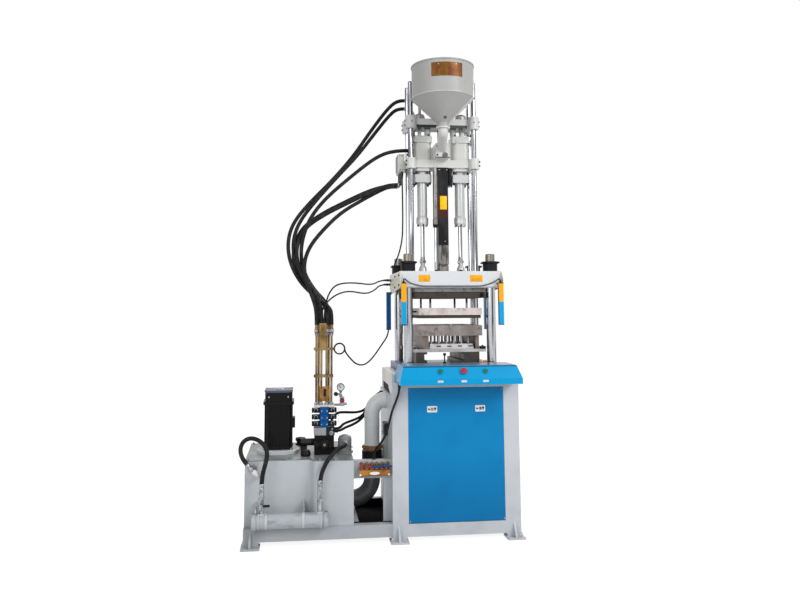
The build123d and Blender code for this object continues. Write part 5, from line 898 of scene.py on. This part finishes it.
# Pump motor. A finned cast frame in black enamel on a pale grey flange, with a blue-grey cowl plate
# over its fan and a terminal box on its right side.
MOTOR_X, MOTOR_Y = -1087, -50
COWL_TOP = 880
motor_finish = enamel("pump_motor_enamel", (15, 14, 16), (27, 26, 29), dirt_top=0.01, shine=0.12)
motor_finish.paint(motor_finish.fall(motor_finish.z, 0.5122, 0.5126), (196, 199, 202))
motor_finish.paint(motor_finish.ramp(motor_finish.z, 0.8651, 0.8653), (84, 92, 110))
dress(motor_finish, "pump_motor")
motor_screws = Form()
for side_x, side_y in corners(1, 1):
    motor_screws.bolt((MOTOR_X + side_x * 83, MOTOR_Y + side_y * 83, 512), UP, 17, 10)
    motor_screws.cap_screw((MOTOR_X + side_x * 60, MOTOR_Y + side_y * 96, 840), (0, side_y, 0), 5, 4)
    motor_screws.cap_screw((MOTOR_X + side_x * 80, MOTOR_Y + side_y * 80, COWL_TOP), UP, 5, 3)
motor_screws.turned((MOTOR_X, MOTOR_Y, COWL_TOP), UP, [(0, 4), (26, 3), (30, 0), (0, 0)], 36)
piece("motor_screws", motor_screws, zinc, "frame")


# Control block. Three blue solenoid valves stacked on a grey base block over a black one, their
# coils black with plated ends; fittings, gauge, relief valve and shut-off wheels are screwed in.
STACK_X = -801
GAUGE_X, GAUGE_Z = -697, 896
TUBE_FEET = ((-852, -165), (-820, -165), (-788, -165), (-756, -165), (-836, -120), (-772, -120))
stack_finish = worn_metal("valve_steel", (54, 52, 50), (28, 27, 27), metal=0.4, shine=0.15)
from_stack = abs(stack_finish.x + 0.361)
near_stack = stack_finish.fall(from_stack, 0.080, 0.081)
valve_height = stack_finish.within(stack_finish.z, 0.6552, 0.7775)
on_valves = valve_height * stack_finish.fall(from_stack, 0.0302, 0.0305)
stack_finish.paint(on_valves, (10, 78, 142))
coil_height = stack_finish.within(stack_finish.z, 0.655, 0.7775)
stack_finish.paint(coil_height * stack_finish.within(from_stack, 0.0243, 0.0640) * (1 - on_valves), SOOT)
coil_ends = coil_height * stack_finish.ramp(from_stack, 0.0641, 0.0643)
stack_finish.paint(coil_ends * near_stack, (58, 53, 51))
right_half = stack_finish.ramp(stack_finish.x, -0.3502, -0.3498)
base_shades = stack_finish.mixed(right_half, (150, 151, 155), (22, 42, 44))
stack_finish.paint(stack_finish.within(stack_finish.z, 0.6082, 0.6548) * near_stack, base_shades)
stack_finish.paint(stack_finish.within(stack_finish.z, 0.7782, 0.8065) * near_stack, (206, 204, 198))
stack_finish.paint(stack_finish.fall(stack_finish.z, 0.6075, 0.6080) * near_stack, (20, 20, 22))
right_of_base = stack_finish.ramp(stack_finish.x, -0.2985, -0.2980)
gauge_line = right_of_base * stack_finish.ramp(stack_finish.z, 0.7765, 0.7770)
stack_finish.paint(gauge_line, stack_finish.mixed(stack_finish.noise(90.0), (196, 196, 194), (110, 108, 106)))
dress(stack_finish, "valve_stack")
plugs = Form()
for valve_foot in (655, 696, 737):
    for side in SIDES:
        x = STACK_X + side * 44
        plugs.slab((x - 13, -201, valve_foot + 8), (x + 13, -183, valve_foot + 34), 2)
        plugs.turned((x + side * 6, -199, valve_foot + 21), (side * 0.3, -1, 0), [
            (0, 0), (8, 0), (8, 9), (5, 12), (0, 12)], 20)
        plugs.turned((STACK_X + side * 66, -168, valve_foot + 20), (side, 0, 0), [
            (0, 0), (16.5, 0), (16.5, 9), (13, 12), (0, 12)], 22)
for x, rim in ((STACK_X, 30), (STACK_X - 45, 20), (STACK_X + 39, 20)):
    plugs.turned((x, -210, 556), FRONT, [
        (0, 30), (rim * 0.45, 30), (rim * 0.55, 26), (rim * 0.86, 26), (rim, 22), (rim, 10),
        (rim * 0.8, 6), (rim * 0.5, 5), (rim * 0.45, 0), (0, 0)], 14)
plugs.turned((-752, -150, 512), RIGHT, [
    (0, 0), (19, 0), (19, 12), (14, 14), (14, 34), (22, 36), (22, 46), (0, 46)], 28)
plugs.turned((-724, -150, 852), (-0.3, -1, 0.2), [(0, 0), (9, 0), (13, 4), (13, 18), (10, 22), (0, 23)], 20)
piece("solenoid_plugs", plugs, blackened, "frame")
fittings = Form()
for valve_foot in (661, 702, 743):
    for x in (STACK_X - 17, STACK_X + 17):
        fittings.cap_screw((x, -200, valve_foot + 12), FRONT, 5, 6)
    for side in SIDES:
        fittings.turned((STACK_X + side * 51, -204, valve_foot + 21), (side * 0.3, -1, 0), [
            (8, 0), (11, 0), (11, 4), (8, 4), (8, 0)], 22)
        fittings.stub((STACK_X + side * 88, -168, valve_foot + 20), (side, 0, 0), 5, 3, 18)
for x in (-850, -752):
    for z in (616, 646):
        fittings.cap_screw((x, -210, z), FRONT, 5, 5)
fittings.turned((-757, -210, 622), FRONT, [(0, 8), (6, 8), (8, 5), (13, 5), (14, 0), (0, 0)], 28)
for x, y in TUBE_FEET:
    fittings.hexagon((x, y, 790), UP, 25, 13)
fittings.turned((STACK_X, -210, 556), FRONT, [(0, 33), (8, 33), (9, 29), (0, 29)], 20)
fittings.turned((GAUGE_X, -148, 852), LEFT, [(0, 0), (6, 0), (6, 18), (9, 20), (9, 27), (0, 27)], 22)
fittings.hexagon((GAUGE_X, -150, 838), UP, 22, 12)
fittings.hexagon((GAUGE_X, -150, 862), UP, 18, 10)
fittings.turned((-676, -140, 790), RIGHT, [(0, 0), (9, 0), (9, 10), (7, 12), (7, 20), (0, 20)], 24)
piece("block_fittings", fittings, zinc, "frame")
gauge_case = Form()
gauge_case.turned((GAUGE_X, -162, GAUGE_Z), FRONT, [
    (20.5, 1), (20.5, 4.5), (21.6, 6), (24.4, 5), (25, 1), (25, -6), (20.5, -6)], 44)
gauge_case.strip((GAUGE_X, -166.4, GAUGE_Z - 4), (GAUGE_X - 11, -166.4, GAUGE_Z + 13), FRONT, 2.2, 0.8, 0.2)
gauge_case.stub((GAUGE_X, -165.6, GAUGE_Z), FRONT, 3, 1.6, 18)
for mark in range(11):
    angle = math.radians(225 - 27 * mark)
    inner = 14.5 if mark % 2 else 13
    start, end = (
        (GAUGE_X + reach * math.cos(angle), -165.4, GAUGE_Z + reach * math.sin(angle))
        for reach in (inner, 18))
    gauge_case.strip(start, end, FRONT, 1.2, 0.5, 0.1)
piece("gauge_case", gauge_case, blackened, "frame")
dial = Form()
dial.turned((GAUGE_X, -163.6, GAUGE_Z), FRONT, [(0, 1.6), (20.8, 1.6), (20.8, 0), (0, 0)], 40)
dial_finish = Finish("gauge_dial", (206, 208, 214), Roughness=0.3, Coat_Weight=0.8)
dial_finish.mottle((178, 182, 192), 40.0, 0.4, 0.7)
piece("gauge_dial", dial, dial_finish, "frame")
knob_finish = enamel("relief_red", (196, 26, 34), (150, 20, 28), dirt_top=0.01, shine=0.15)
knob_x, knob_z = knob_finish.x + 0.248, knob_finish.z - 0.816
knob_rim = knob_finish.ramp(knob_x * knob_x + knob_z * knob_z, 0.000072, 0.000078)
knob_finish.paint(knob_rim, (34, 32, 34))
dress(knob_finish, "relief_knob")


# Hard tubes. Yellow-zinc steel tube, bent and cut to length, held by two bored strap plates and a
# brass clamp, and ending in swivel nuts where the hoses screw on.
tube_finish = worn_metal("yellow_zinc", (160, 132, 84), (92, 70, 44), roughness=0.3)
dress(tube_finish, "hard_tubes")
tube_nuts = Form()
for x, y in TUBE_FEET:
    tube_nuts.hexagon((x, y, 1243), UP, 28, 22)
    tube_nuts.turned((x, y, 1222), UP, [(7.1, 0), (10, 0), (11, 4), (11, 21), (7.1, 21)], 22)
for z in (968, 1138):
    for x in (-804, -772):
        tube_nuts.cap_screw((x, -176, z), FRONT, 4, 4)
piece("tube_nuts", tube_nuts, zinc, "frame")
CLAMP_FRONT = -181
tube_clamp = Form()
tube_clamp.slab((-831, CLAMP_FRONT, 812), (-765, -173, 905), 1.5)
piece("tube_clamp", tube_clamp, brass, "frame")
clamp_slot = Form()
clamp_slot.slab((-806, CLAMP_FRONT - 1, 842), (-790, CLAMP_FRONT + 0.5, 890), 0.6)
for z in (820, 897):
    for x in (-822, -774):
        clamp_slot.cap_screw((x, CLAMP_FRONT, z), FRONT, 4, 4)
piece("tube_clamp_slot", clamp_slot, blackened, "frame")


# Suction duct. Welded steel pipe with an elbow into the press's side, in the grey enamel painted
# lighter as highlight, joined to the darker lower elbow by a rubber sleeve under a studded brass band.
DUCT_X = -483
PIPE_FOOT, PIPE_TOP, PIPE_OUT = 500, 708, 50
# The duct's enamel is painted lighter than the press's grey: a painted highlight.
duct_finish = enamel("duct_enamel", (216, 220, 223), (196, 200, 203), roughness=0.24)
darker_elbow = duct_finish.mixed(duct_finish.noise(12.0), (124, 127, 127), (92, 94, 94))
# The lower elbow below the sleeve is painted darker.
duct_finish.paint(duct_finish.fall(duct_finish.z, 0.4075, 0.408), darker_elbow)
duct_finish.paint(duct_finish.within(duct_finish.z, 0.4082, 0.4798), (20, 19, 20))
duct_finish.paint(duct_finish.within(duct_finish.z, 0.4802, 0.5078), (150, 104, 66))
dress(duct_finish, "suction_duct")
band_studs = Form()
for turn in range(16):
    angle = math.radians(22.5 * turn + 8)
    way = (math.cos(angle), math.sin(angle), 0)
    band_studs.turned((DUCT_X + 60 * way[0], 60 * way[1], 494), way, [
        (0, 0), (6, 0), (6, 6), (4.5, 8), (0, 8)], 14)
for z in (486, 502):
    band_studs.turned((DUCT_X, 0, z), UP, [(61, -2), (62.4, -2), (62.4, 2), (61, 2)], 64)
piece("band_studs", band_studs, brass, "frame")
sleeve_rings = Form()
for z in (420, 438, 456):
    sleeve_rings.turned((DUCT_X, 0, z), UP, [(65, -3.5), (67.2, -2), (67.2, 2), (65, 3.5)], 64)
sleeve_rings.slab((-428, -10, 412), (-408, 10, 432), 2)
piece("sleeve_bands", sleeve_rings, blackened, "frame")
duct_pipe = Form()
duct_pipe.turned((DUCT_X, 0, PIPE_FOOT), UP, [
    (PIPE_OUT, 0), (PIPE_OUT, 124), (PIPE_OUT + 1.4, 125.5), (PIPE_OUT + 1.4, 128.5), (PIPE_OUT, 130),
    (PIPE_OUT, PIPE_TOP - PIPE_FOOT)], 48)
elbow = bmesh.new()
bmesh.ops.create_circle(elbow, cap_ends=False, radius=PIPE_OUT / 1000, segments=48)
bmesh.ops.spin(
    elbow, geom=elbow.verts[:] + elbow.edges[:], cent=(0.087, 0, 0), axis=(0, 1, 0),
    angle=math.pi / 2, steps=18)
duct_pipe.join(elbow, Matrix.Translation(at(DUCT_X, 0, PIPE_TOP)))
piece("duct_pipe", duct_pipe, duct_finish, "frame")


# Water manifold. A drilled brass bar with six quarter-turn valves, two with red levers and four with
# blue; white plugs close its ends and a bare oval plate marks it.
OUTLETS = [(number, -579.4 + 31.17 * (number - 1)) for number in range(1, 7)]
RED_LEVERS = 2
manifold_brass = worn_metal("manifold_brass", (176, 122, 58), (138, 88, 38), roughness=0.3)
nickelled = manifold_brass.mixed(manifold_brass.noise(60.0), (152, 122, 88), (86, 66, 48))
manifold_brass.paint(manifold_brass.ramp(manifold_brass.z, 0.4225, 0.4230) * 0.85, nickelled)
dress(manifold_brass, "water_manifold")
outlet_nuts = Form()
lever_red = enamel("lever_red", (190, 26, 36), (150, 20, 28), dirt_top=0.01, shine=0.15)
lever_blue = enamel("lever_blue", (16, 62, 132), (12, 46, 98), dirt_top=0.01, shine=0.15)
for number, x in OUTLETS:
    outlet_nuts.hexagon((x, -346, 422), UP, 22, 10)
    outlet_nuts.hexagon((x, -346, 452), UP, 20, 9)
    plastic = lever_red if number <= RED_LEVERS else lever_blue
    lever_name = "valve_lever_%d" % number
    dress(plastic, lever_name)
    sleeve = Form()
    if number == 1:
        sleeve.slab((x - 6, -370.6, 450), (x + 6, -365.2, 467), 2)
    else:
        sleeve.slab((x + 8, -370.6, 436), (x + 25, -365.2, 448), 2)
    piece("lever_sleeve_%d" % number, sleeve, plastic, lever_name)
piece("outlet_nuts", outlet_nuts, manifold_brass, "frame")
end_plugs = Form()
for x in (-588, -415):
    end_plugs.turned((x, -362, 394), FRONT, [(0, 4), (4, 4), (6, 2.5), (6.5, 0), (0, 0)], 22)
end_plugs.turned((-501, -361.5, 402), FRONT, [(0, 1.4), (30, 1.4), (31, 0), (0, 0)], 48, 0.3)
white = Finish("white_plastic", (236, 236, 238), Roughness=0.35)
white.mottle((216, 216, 222), 60.0, 0.45, 0.7)
piece("end_plugs", end_plugs, white, "frame")


# Hoses. Wire-braided rubber hose, made up to length; the cooler's two have crimped ends on swivel
# nuts, and the six upper ones hang in one bundle from the carriage to the tubes over the block.
HOSE, COOLER_HOSE = 0.025, 0.026
rubber = Finish("hose_rubber", (20, 20, 21), Roughness=0.5, Specular_IOR_Level=0.18)
rubber.mottle((44, 43, 43), 26.0, 0.45, 0.75, 6.0)
rubber.drive("Roughness", 0.42 + rubber.noise(80.0) * 0.25)
rubber.bump(rubber.noise(420.0, 3.0), 0.0004)


def route_line(name, route, finish):
    """A cord's line: its route's points are the spline's own control points."""
    data = bpy.data.curves.new(name, "CURVE")
    data.dimensions = "3D"
    data.resolution_u = 10
    spline = data.splines.new("NURBS")
    spline.points.add(len(route) - 1)
    for point, place in zip(spline.points, route):
        point.co = (*place, 1.0)
    spline.order_u = 3
    spline.use_endpoint_u = True
    data.materials.append(finish.material)
    new = bpy.data.objects.new(name, data)
    bpy.context.scene.collection.objects.link(new)
    return new


def thicken(line, diameter, roundness=5):
    line.data.bevel_depth = diameter / 2
    line.data.bevel_resolution = roundness


def frame_cord(name, node, route, diameter, finish):
    """A cord whose two ends both sit on the frame."""
    new = route_line(name, route, finish)
    thicken(new, diameter)
    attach(new, "frame")
    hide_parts(node)


def carriage_cord(name, node, route, diameter, finish):
    """A cord from the carriage to the frame, made as a fixed tube along its line."""
    line = route_line(name + "_line", route, finish)
    bpy.context.view_layer.update()
    run = bpy.data.meshes.new_from_object(line)
    thicken(line, diameter)
    bpy.context.view_layer.update()
    tube = bpy.data.meshes.new_from_object(line)
    bpy.data.objects.remove(line)
    bpy.data.meshes.remove(run)
    tube.name = name
    if not tube.materials:
        tube.materials.append(finish.material)
    new = bpy.data.objects.new(name, tube)
    bpy.context.scene.collection.objects.link(new)
    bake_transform(new)
    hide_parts(node)


def from_axis(place):
    """A point of the frame, in metres, in millimetres from the press's own axis."""
    return (place[0] * 1000 - AXIS_X, place[1] * 1000 - AXIS_Y, place[2] * 1000)


def hose_end(form, place, toward, radius, reach=38):
    """A crimped ferrule on its swivel nut."""
    foot = from_axis(place)
    form.hexagon(foot, toward, radius * 2.1, 12)
    wall = radius + 2.2
    form.turned(foot, toward, [
        (0, 11), (radius, 11), (wall, 13), (wall, 17), (wall - 0.9, 18.5), (wall, 20), (wall, 24),
        (wall - 0.9, 25.5), (wall, 27), (wall, reach - 3), (radius + 0.8, reach), (0, reach)], 28)


def way_out(route, end):
    """Which way a route sets out from its first or its last point."""
    first, second = (route[0], route[1]) if end == 0 else (route[-1], route[-2])
    return Vector(second) - Vector(first)


upper_routes = {
    "top_hose_1": ("hose_a1", 2.02, (
        (0.208, 0.2775, 2.868), (0.158, 0.2775, 2.868), (0.085, 0.2775, 2.801), (-0.03, 0.2625, 2.642),
        (-0.161, 0.2275, 2.443), (-0.311, 0.1685, 2.258), (-0.476, 0.1075, 2.082), (-0.571, 0.0605, 1.951),
        (-0.603, 0.0285, 1.826), (-0.586, 0.0035, 1.69), (-0.517, -0.0215, 1.559), (-0.421, -0.0375, 1.469),
        (-0.325, -0.0495, 1.399), (-0.316, -0.0525, 1.345), (-0.316, -0.0525, 1.29))),
    "top_hose_2": ("hose_a2", 1.91, (
        (0.204, 0.2775, 2.808), (0.154, 0.2775, 2.808), (0.09, 0.2705, 2.744), (-0.005, 0.2475, 2.619),
        (-0.134, 0.2045, 2.443), (-0.259, 0.1615, 2.303), (-0.43, 0.0915, 2.099), (-0.536, 0.0445, 1.949),
        (-0.571, 0.0235, 1.814), (-0.548, 0.0005, 1.679), (-0.477, -0.0155, 1.554), (-0.389, -0.0145, 1.465),
        (-0.349, -0.0195, 1.39), (-0.348, -0.0525, 1.345), (-0.348, -0.0525, 1.29))),
    "side_hose": ("hose_b", 1.64, (
        (0.232, 0.1375, 2.475), (0.165, 0.1375, 2.475), (0.06, 0.1285, 2.455), (-0.039, 0.1085, 2.399),
        (-0.198, 0.0765, 2.264), (-0.352, 0.0455, 2.124), (-0.449, 0.0145, 1.999), (-0.499, -0.0045, 1.874),
        (-0.518, -0.0045, 1.75), (-0.495, 0.0055, 1.627), (-0.428, 0.0115, 1.513), (-0.346, 0.0115, 1.432),
        (-0.332, -0.0075, 1.36), (-0.332, -0.0075, 1.29))),
    "carriage_hose_1": ("carriage_hoses", 1.40, (
        (0.137, 0.1225, 2.232), (0.085, 0.1225, 2.232), (0.009, 0.1175, 2.203), (-0.087, 0.1015, 2.158),
        (-0.233, 0.0845, 2.083), (-0.355, 0.0685, 2.018), (-0.484, 0.0395, 1.928), (-0.534, 0.0075, 1.833),
        (-0.546, -0.0145, 1.728), (-0.506, -0.0405, 1.613), (-0.436, -0.0615, 1.512),
        (-0.388, -0.0675, 1.421), (-0.38, -0.0525, 1.355), (-0.38, -0.0525, 1.29))),
    "carriage_hose_2": ("carriage_hoses", 1.42, (
        (0.137, 0.1625, 2.232), (0.085, 0.1625, 2.232), (-0.001, 0.1555, 2.212), (-0.091, 0.1465, 2.177),
        (-0.24, 0.1295, 2.101), (-0.37, 0.1115, 2.031), (-0.495, 0.0845, 1.941), (-0.551, 0.0615, 1.84),
        (-0.569, 0.0435, 1.735), (-0.537, 0.0255, 1.624), (-0.467, 0.0095, 1.529), (-0.407, -0.0005, 1.429),
        (-0.396, -0.0075, 1.36), (-0.396, -0.0075, 1.29))),
    "carriage_hose_3": ("carriage_hoses", 1.32, (
        (0.137, 0.2025, 2.232), (0.085, 0.2025, 2.232), (0.011, 0.1775, 2.193), (-0.084, 0.1255, 2.136),
        (-0.25, 0.0555, 2.031), (-0.376, 0.0035, 1.902), (-0.467, -0.0395, 1.782), (-0.499, -0.0675, 1.662),
        (-0.471, -0.0855, 1.546), (-0.425, -0.0745, 1.427), (-0.412, -0.0525, 1.36),
        (-0.412, -0.0525, 1.29))),
}
# A known slip: this radius is in metres where hose_end takes millimetres, so the upper hoses' ends
# are too thin and lie hidden inside the hoses. A radius of HOSE * 500 would be right.
THIN_END = HOSE / 2
high_ends, low_ends = Form(), Form()
for name, (node, length, route) in upper_routes.items():
    carriage_cord(name, node, route, HOSE, rubber)
    hose_end(high_ends, route[0], way_out(route, 0), THIN_END)
    hose_end(low_ends, route[-1], UP, THIN_END)
piece("hose_ends_high", high_ends, zinc, CARRIAGE_BODY)

cooler_left = (
    (-0.731, -0.3175, 0.33), (-0.731, -0.3175, 0.385), (-0.724, -0.3155, 0.44), (-0.71, -0.3065, 0.49),
    (-0.701, -0.2935, 0.535), (-0.712, -0.2795, 0.582), (-0.755, -0.2675, 0.62), (-0.81, -0.2615, 0.632),
    (-0.852, -0.2645, 0.606), (-0.863, -0.2755, 0.552), (-0.832, -0.2875, 0.492), (-0.785, -0.2875, 0.445))
cooler_right = (
    (-0.23, -0.1195, 0.56), (-0.23, -0.1695, 0.56), (-0.263, -0.2215, 0.556), (-0.308, -0.2715, 0.538),
    (-0.36, -0.3115, 0.48), (-0.392, -0.3175, 0.4), (-0.392, -0.3175, 0.325))
frame_cord("cooler_hose_in", "cooler_hose_left", cooler_left, COOLER_HOSE, rubber)
frame_cord("cooler_hose_out", "cooler_hose_right", cooler_right, COOLER_HOSE, rubber)
for place, way, ferrule in (
    (cooler_left[0], UP, 46), (cooler_left[-1], way_out(cooler_left, -1), 52),
    (cooler_right[0], FRONT, 40), (cooler_right[-1], UP, 62),
):
    hose_end(low_ends, place, way, COOLER_HOSE * 500, ferrule)
piece("hose_ends_low", low_ends, zinc, "frame")


# Cables and the control block's own hoses. Black sheathed cable through tapered rubber glands, the
# curtain's with a spare ring hung on the upper strap; three thin hoses run behind the duct.
CABLE, POWER_CABLE, PRESS_HOSE = 0.01, 0.014, 0.017
sheath = Finish("cable_sheath", (18, 18, 20), Roughness=0.45, Specular_IOR_Level=0.15)
sheath.mottle((38, 38, 40), 40.0, 0.45, 0.75, 5.0)
sheath.bump(sheath.noise(500.0, 2.0), 0.0002)
column_route = (
    (0.172, 0.1425, 2.309), (0.172, 0.1425, 2.24), (0.176, 0.1575, 2.12), (0.178, 0.1675, 1.99),
    (0.175, 0.1775, 1.86), (0.155, 0.2175, 1.76), (0.132, 0.2545, 1.705), (0.13, 0.2625, 1.685),
    (0.13, 0.2625, 1.642))
carriage_cord("carriage_lead", "column_cable", column_route, CABLE, sheath)
upper_route = (
    (-0.364, -0.0775, 1.3), (-0.364, -0.0775, 1.345), (-0.357, -0.0855, 1.419), (-0.332, -0.0595, 1.499),
    (-0.279, -0.0035, 1.554), (-0.159, 0.1025, 1.565), (-0.03, 0.2275, 1.552), (0.04, 0.3525, 1.59),
    (0.095, 0.3525, 1.59))
frame_cord("head_lead_upper", "head_cable_upper", upper_route, CABLE, sheath)
lower_route = (
    (-0.38, -0.0775, 1.3), (-0.38, -0.0775, 1.345), (-0.371, -0.0775, 1.41), (-0.295, -0.0275, 1.481),
    (-0.2, 0.0745, 1.511), (-0.08, 0.1775, 1.49), (-0.01, 0.2795, 1.515), (0.04, 0.3625, 1.56),
    (0.095, 0.3625, 1.56))
frame_cord("head_lead_lower", "head_cable_lower", lower_route, CABLE, sheath)
RING_X, RING_Z, RING_RADIUS = -0.265, 1.138, 0.034
ring = []
for step in range(23):
    angle = math.radians(180 - 25 * step)
    x, z = RING_X + RING_RADIUS * math.cos(angle), RING_Z + RING_RADIUS * math.sin(angle)
    ring.append((x, -0.0430 + 0.0005 * step, z))
curtain_route = (
    *ring, (-0.225, -0.0350, 1.112), (-0.198, -0.0285, 1.078), (-0.16, 0.0075, 1.038), (-0.11, 0.0575, 1.022),
    (-0.06, 0.1325, 1.04), (-0.01, 0.2075, 1.085), (0.04, 0.2725, 1.145), (0.082, 0.3175, 1.195),
    (0.0945, 0.3245, 1.238), (0.0945, 0.3245, 1.28))
frame_cord("curtain_lead", "curtain_cable", curtain_route, CABLE, sheath)
power_route = (
    (0.085, -0.3055, 0.94), (0.085, -0.3055, 0.895), (0.068, -0.3005, 0.84), (0.042, -0.2955, 0.78),
    (0.027, -0.2875, 0.715), (0.012, -0.2725, 0.65), (-0.015, -0.2455, 0.585), (-0.048, -0.2135, 0.542),
    (-0.06, -0.1995, 0.512), (-0.06, -0.1995, 0.474))
frame_cord("power_lead", "power_cable", power_route, POWER_CABLE, sheath)
press_routes = (
    (0.54, (
        (-0.32, 0.0225, 0.632), (-0.32, 0.06, 0.64), (-0.305, 0.075, 0.69), (-0.27, 0.08, 0.722),
        (-0.222, 0.085, 0.722), (-0.145, 0.153, 0.709), (-0.088, 0.197, 0.715), (-0.05, 0.215, 0.754),
        (-0.012, 0.215, 0.807), (0.02, 0.215, 0.832), (0.045, 0.215, 0.832))),
    (0.5, (
        (-0.3, -0.0125, 0.632), (-0.262, -0.008, 0.634), (-0.235, 0.05, 0.655), (-0.152, 0.143, 0.665),
        (-0.103, 0.18, 0.682), (-0.066, 0.19, 0.725), (-0.035, 0.191, 0.77), (-0.001, 0.191, 0.812),
        (0.022, 0.191, 0.822), (0.045, 0.191, 0.822))),
    (0.51, (
        (-0.3, -0.0425, 0.625), (-0.262, -0.035, 0.622), (-0.222, 0.06, 0.628), (-0.174, 0.113, 0.635),
        (-0.119, 0.162, 0.655), (-0.077, 0.176, 0.7), (-0.045, 0.176, 0.742), (-0.015, 0.176, 0.782),
        (0.018, 0.176, 0.795), (0.045, 0.176, 0.795))))
press_ends = Form()
for number, (length, route) in enumerate(press_routes, 1):
    press_hose = route_line("press_hose_%d" % number, route, sheath)
    thicken(press_hose, PRESS_HOSE, 4)
    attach(press_hose, "frame")
    hose_end(press_ends, route[0], way_out(route, 0), PRESS_HOSE * 500, 26)
    hose_end(press_ends, route[-1], way_out(route, -1), PRESS_HOSE * 500, 26)
piece("press_hose_ends", press_ends, blackened, "frame")
glands = Form()
for place, way, radius in (
    (upper_route[0], UP, 5), (lower_route[0], UP, 5), (upper_route[-1], LEFT, 5),
    (lower_route[-1], LEFT, 5), (curtain_route[-1], DOWN, 5), (column_route[-1], UP, 5),
    (power_route[0], DOWN, 7), (power_route[-1], UP, 7),
):
    glands.turned(from_axis(place), way, [
        (0, 0), (radius + 3.6, 0), (radius + 3.6, 7), (radius + 2.6, 9), (radius + 2.2, 16),
        (radius + 0.5, 32), (0, 32)], 22)
piece("cable_glands", glands, blackened, "frame")
box_gland = Form()
box_gland.turned((-268, 30, 2309), DOWN, [(0, 0), (8.6, 0), (8.6, 7), (7.4, 9), (5.5, 30), (0, 30)], 22)
piece("box_gland", box_gland, blackened, CARRIAGE_BODY)


# Floor, light and camera. A pale floor that the camera sees as white and that keeps a faint shadow,
# soft light from all round, a large lamp from the front right and weaker ones opposite it.
FLOOR_GLOW, GLOW_SHARE = 1.36, 0.66
LIGHT_ALL_ROUND = 0.52
floor_mesh = bpy.data.meshes.new("floor")
floor_form = bmesh.new()
bmesh.ops.create_grid(floor_form, x_segments=1, y_segments=1, size=20.0)
floor_form.to_mesh(floor_mesh)
floor = bpy.data.objects.new("floor", floor_mesh)
bpy.context.scene.collection.objects.link(floor)
floor_finish = Finish("floor", (225, 225, 225), Roughness=0.9)
glow = floor_finish.add("Emission", {}, {"Color": (1, 1, 1, 1), "Strength": FLOOR_GLOW})
seen = floor_finish.add("LightPath", {}, {}, 0)
mirrored = floor_finish.add("LightPath", {}, {}, 3)
matt = Value(floor_finish, floor_finish.shader.outputs[0])
surface = floor_finish.add("MixShader", {}, {0: seen.or_more(mirrored) * GLOW_SHARE, 1: matt, 2: glow})
output = next(node for node in floor_finish.tree.nodes if node.type == "OUTPUT_MATERIAL")
floor_finish.tree.links.new(surface.socket, output.inputs["Surface"])
floor_mesh.materials.append(floor_finish.material)

world = bpy.data.worlds.new("studio")
world.use_nodes = True
bpy.context.scene.world = world
air = world.node_tree
paths = air.nodes.new("ShaderNodeLightPath")
direct = air.nodes.new("ShaderNodeMath")
direct.operation = "MAXIMUM"
air.links.new(paths.outputs["Is Camera Ray"], direct.inputs[0])
air.links.new(paths.outputs["Is Glossy Ray"], direct.inputs[1])
level = air.nodes.new("ShaderNodeMapRange")
level.inputs[3].default_value = LIGHT_ALL_ROUND
level.inputs[4].default_value = 1.0
air.links.new(direct.outputs[0], level.inputs[0])
air.links.new(level.outputs[0], air.nodes["Background"].inputs["Strength"])
air.nodes["Background"].inputs["Color"].default_value = (1, 1, 1, 1)
for name, place, power, size in (
    ("key", (3.6, -4.6, 4.4), 200.0, 2.4),
    ("fill", (-3.0, -5.2, 3.2), 100.0, 3.0),
    ("back", (1.5, 4.6, 4.2), 90.0, 3.0),
):
    lamp = bpy.data.lights.new(name, "AREA")
    lamp.energy = power
    lamp.size = size
    lamp_object = bpy.data.objects.new(name, lamp)
    bpy.context.scene.collection.objects.link(lamp_object)
    toward = Vector((0.0, 0.0, 1.3)) - Vector(place)
    turn = toward.to_track_quat("-Z", "Y").to_matrix().to_4x4()
    lamp_object.matrix_world = Matrix.Translation(place) @ turn

# The photograph is 800 by 600 pixels; its lens and its optical centre were fitted in its pixels.
PHOTO_WIDTH, PHOTO_HEIGHT = 800, 600
LENS_PIXELS = 729.39
CENTRE_PIXEL_X, CENTRE_PIXEL_Y = 387.73, 233.05
SENSOR_WIDTH = 36.0
CAMERA_PLACE = (-0.5021, -4.7599, 1.3872)
YAW, PITCH, ROLL = math.radians(6.6607), math.radians(5.9618), math.radians(-0.26)
forward = Vector((math.sin(YAW) * math.cos(PITCH), math.cos(YAW) * math.cos(PITCH), math.sin(PITCH)))
level_right = Vector((math.cos(YAW), -math.sin(YAW), 0.0))
level_up = level_right.cross(forward)
camera_right = level_right * math.cos(ROLL) + level_up * math.sin(ROLL)
camera_up = level_up * math.cos(ROLL) - level_right * math.sin(ROLL)
camera_data = bpy.data.cameras.new("camera")
camera_data.sensor_width = SENSOR_WIDTH
camera_data.lens = SENSOR_WIDTH * LENS_PIXELS / PHOTO_WIDTH
camera_data.shift_x = (PHOTO_WIDTH / 2 - CENTRE_PIXEL_X) / PHOTO_WIDTH
camera_data.shift_y = (CENTRE_PIXEL_Y - PHOTO_HEIGHT / 2) / PHOTO_WIDTH
camera = bpy.data.objects.new("camera", camera_data)
bpy.context.scene.collection.objects.link(camera)
turn = Matrix((camera_right, camera_up, -forward)).transposed().to_4x4()
camera.matrix_world = Matrix.Translation(CAMERA_PLACE) @ turn
bpy.context.scene.camera = camera
bpy.context.scene.view_settings.view_transform = "Standard"
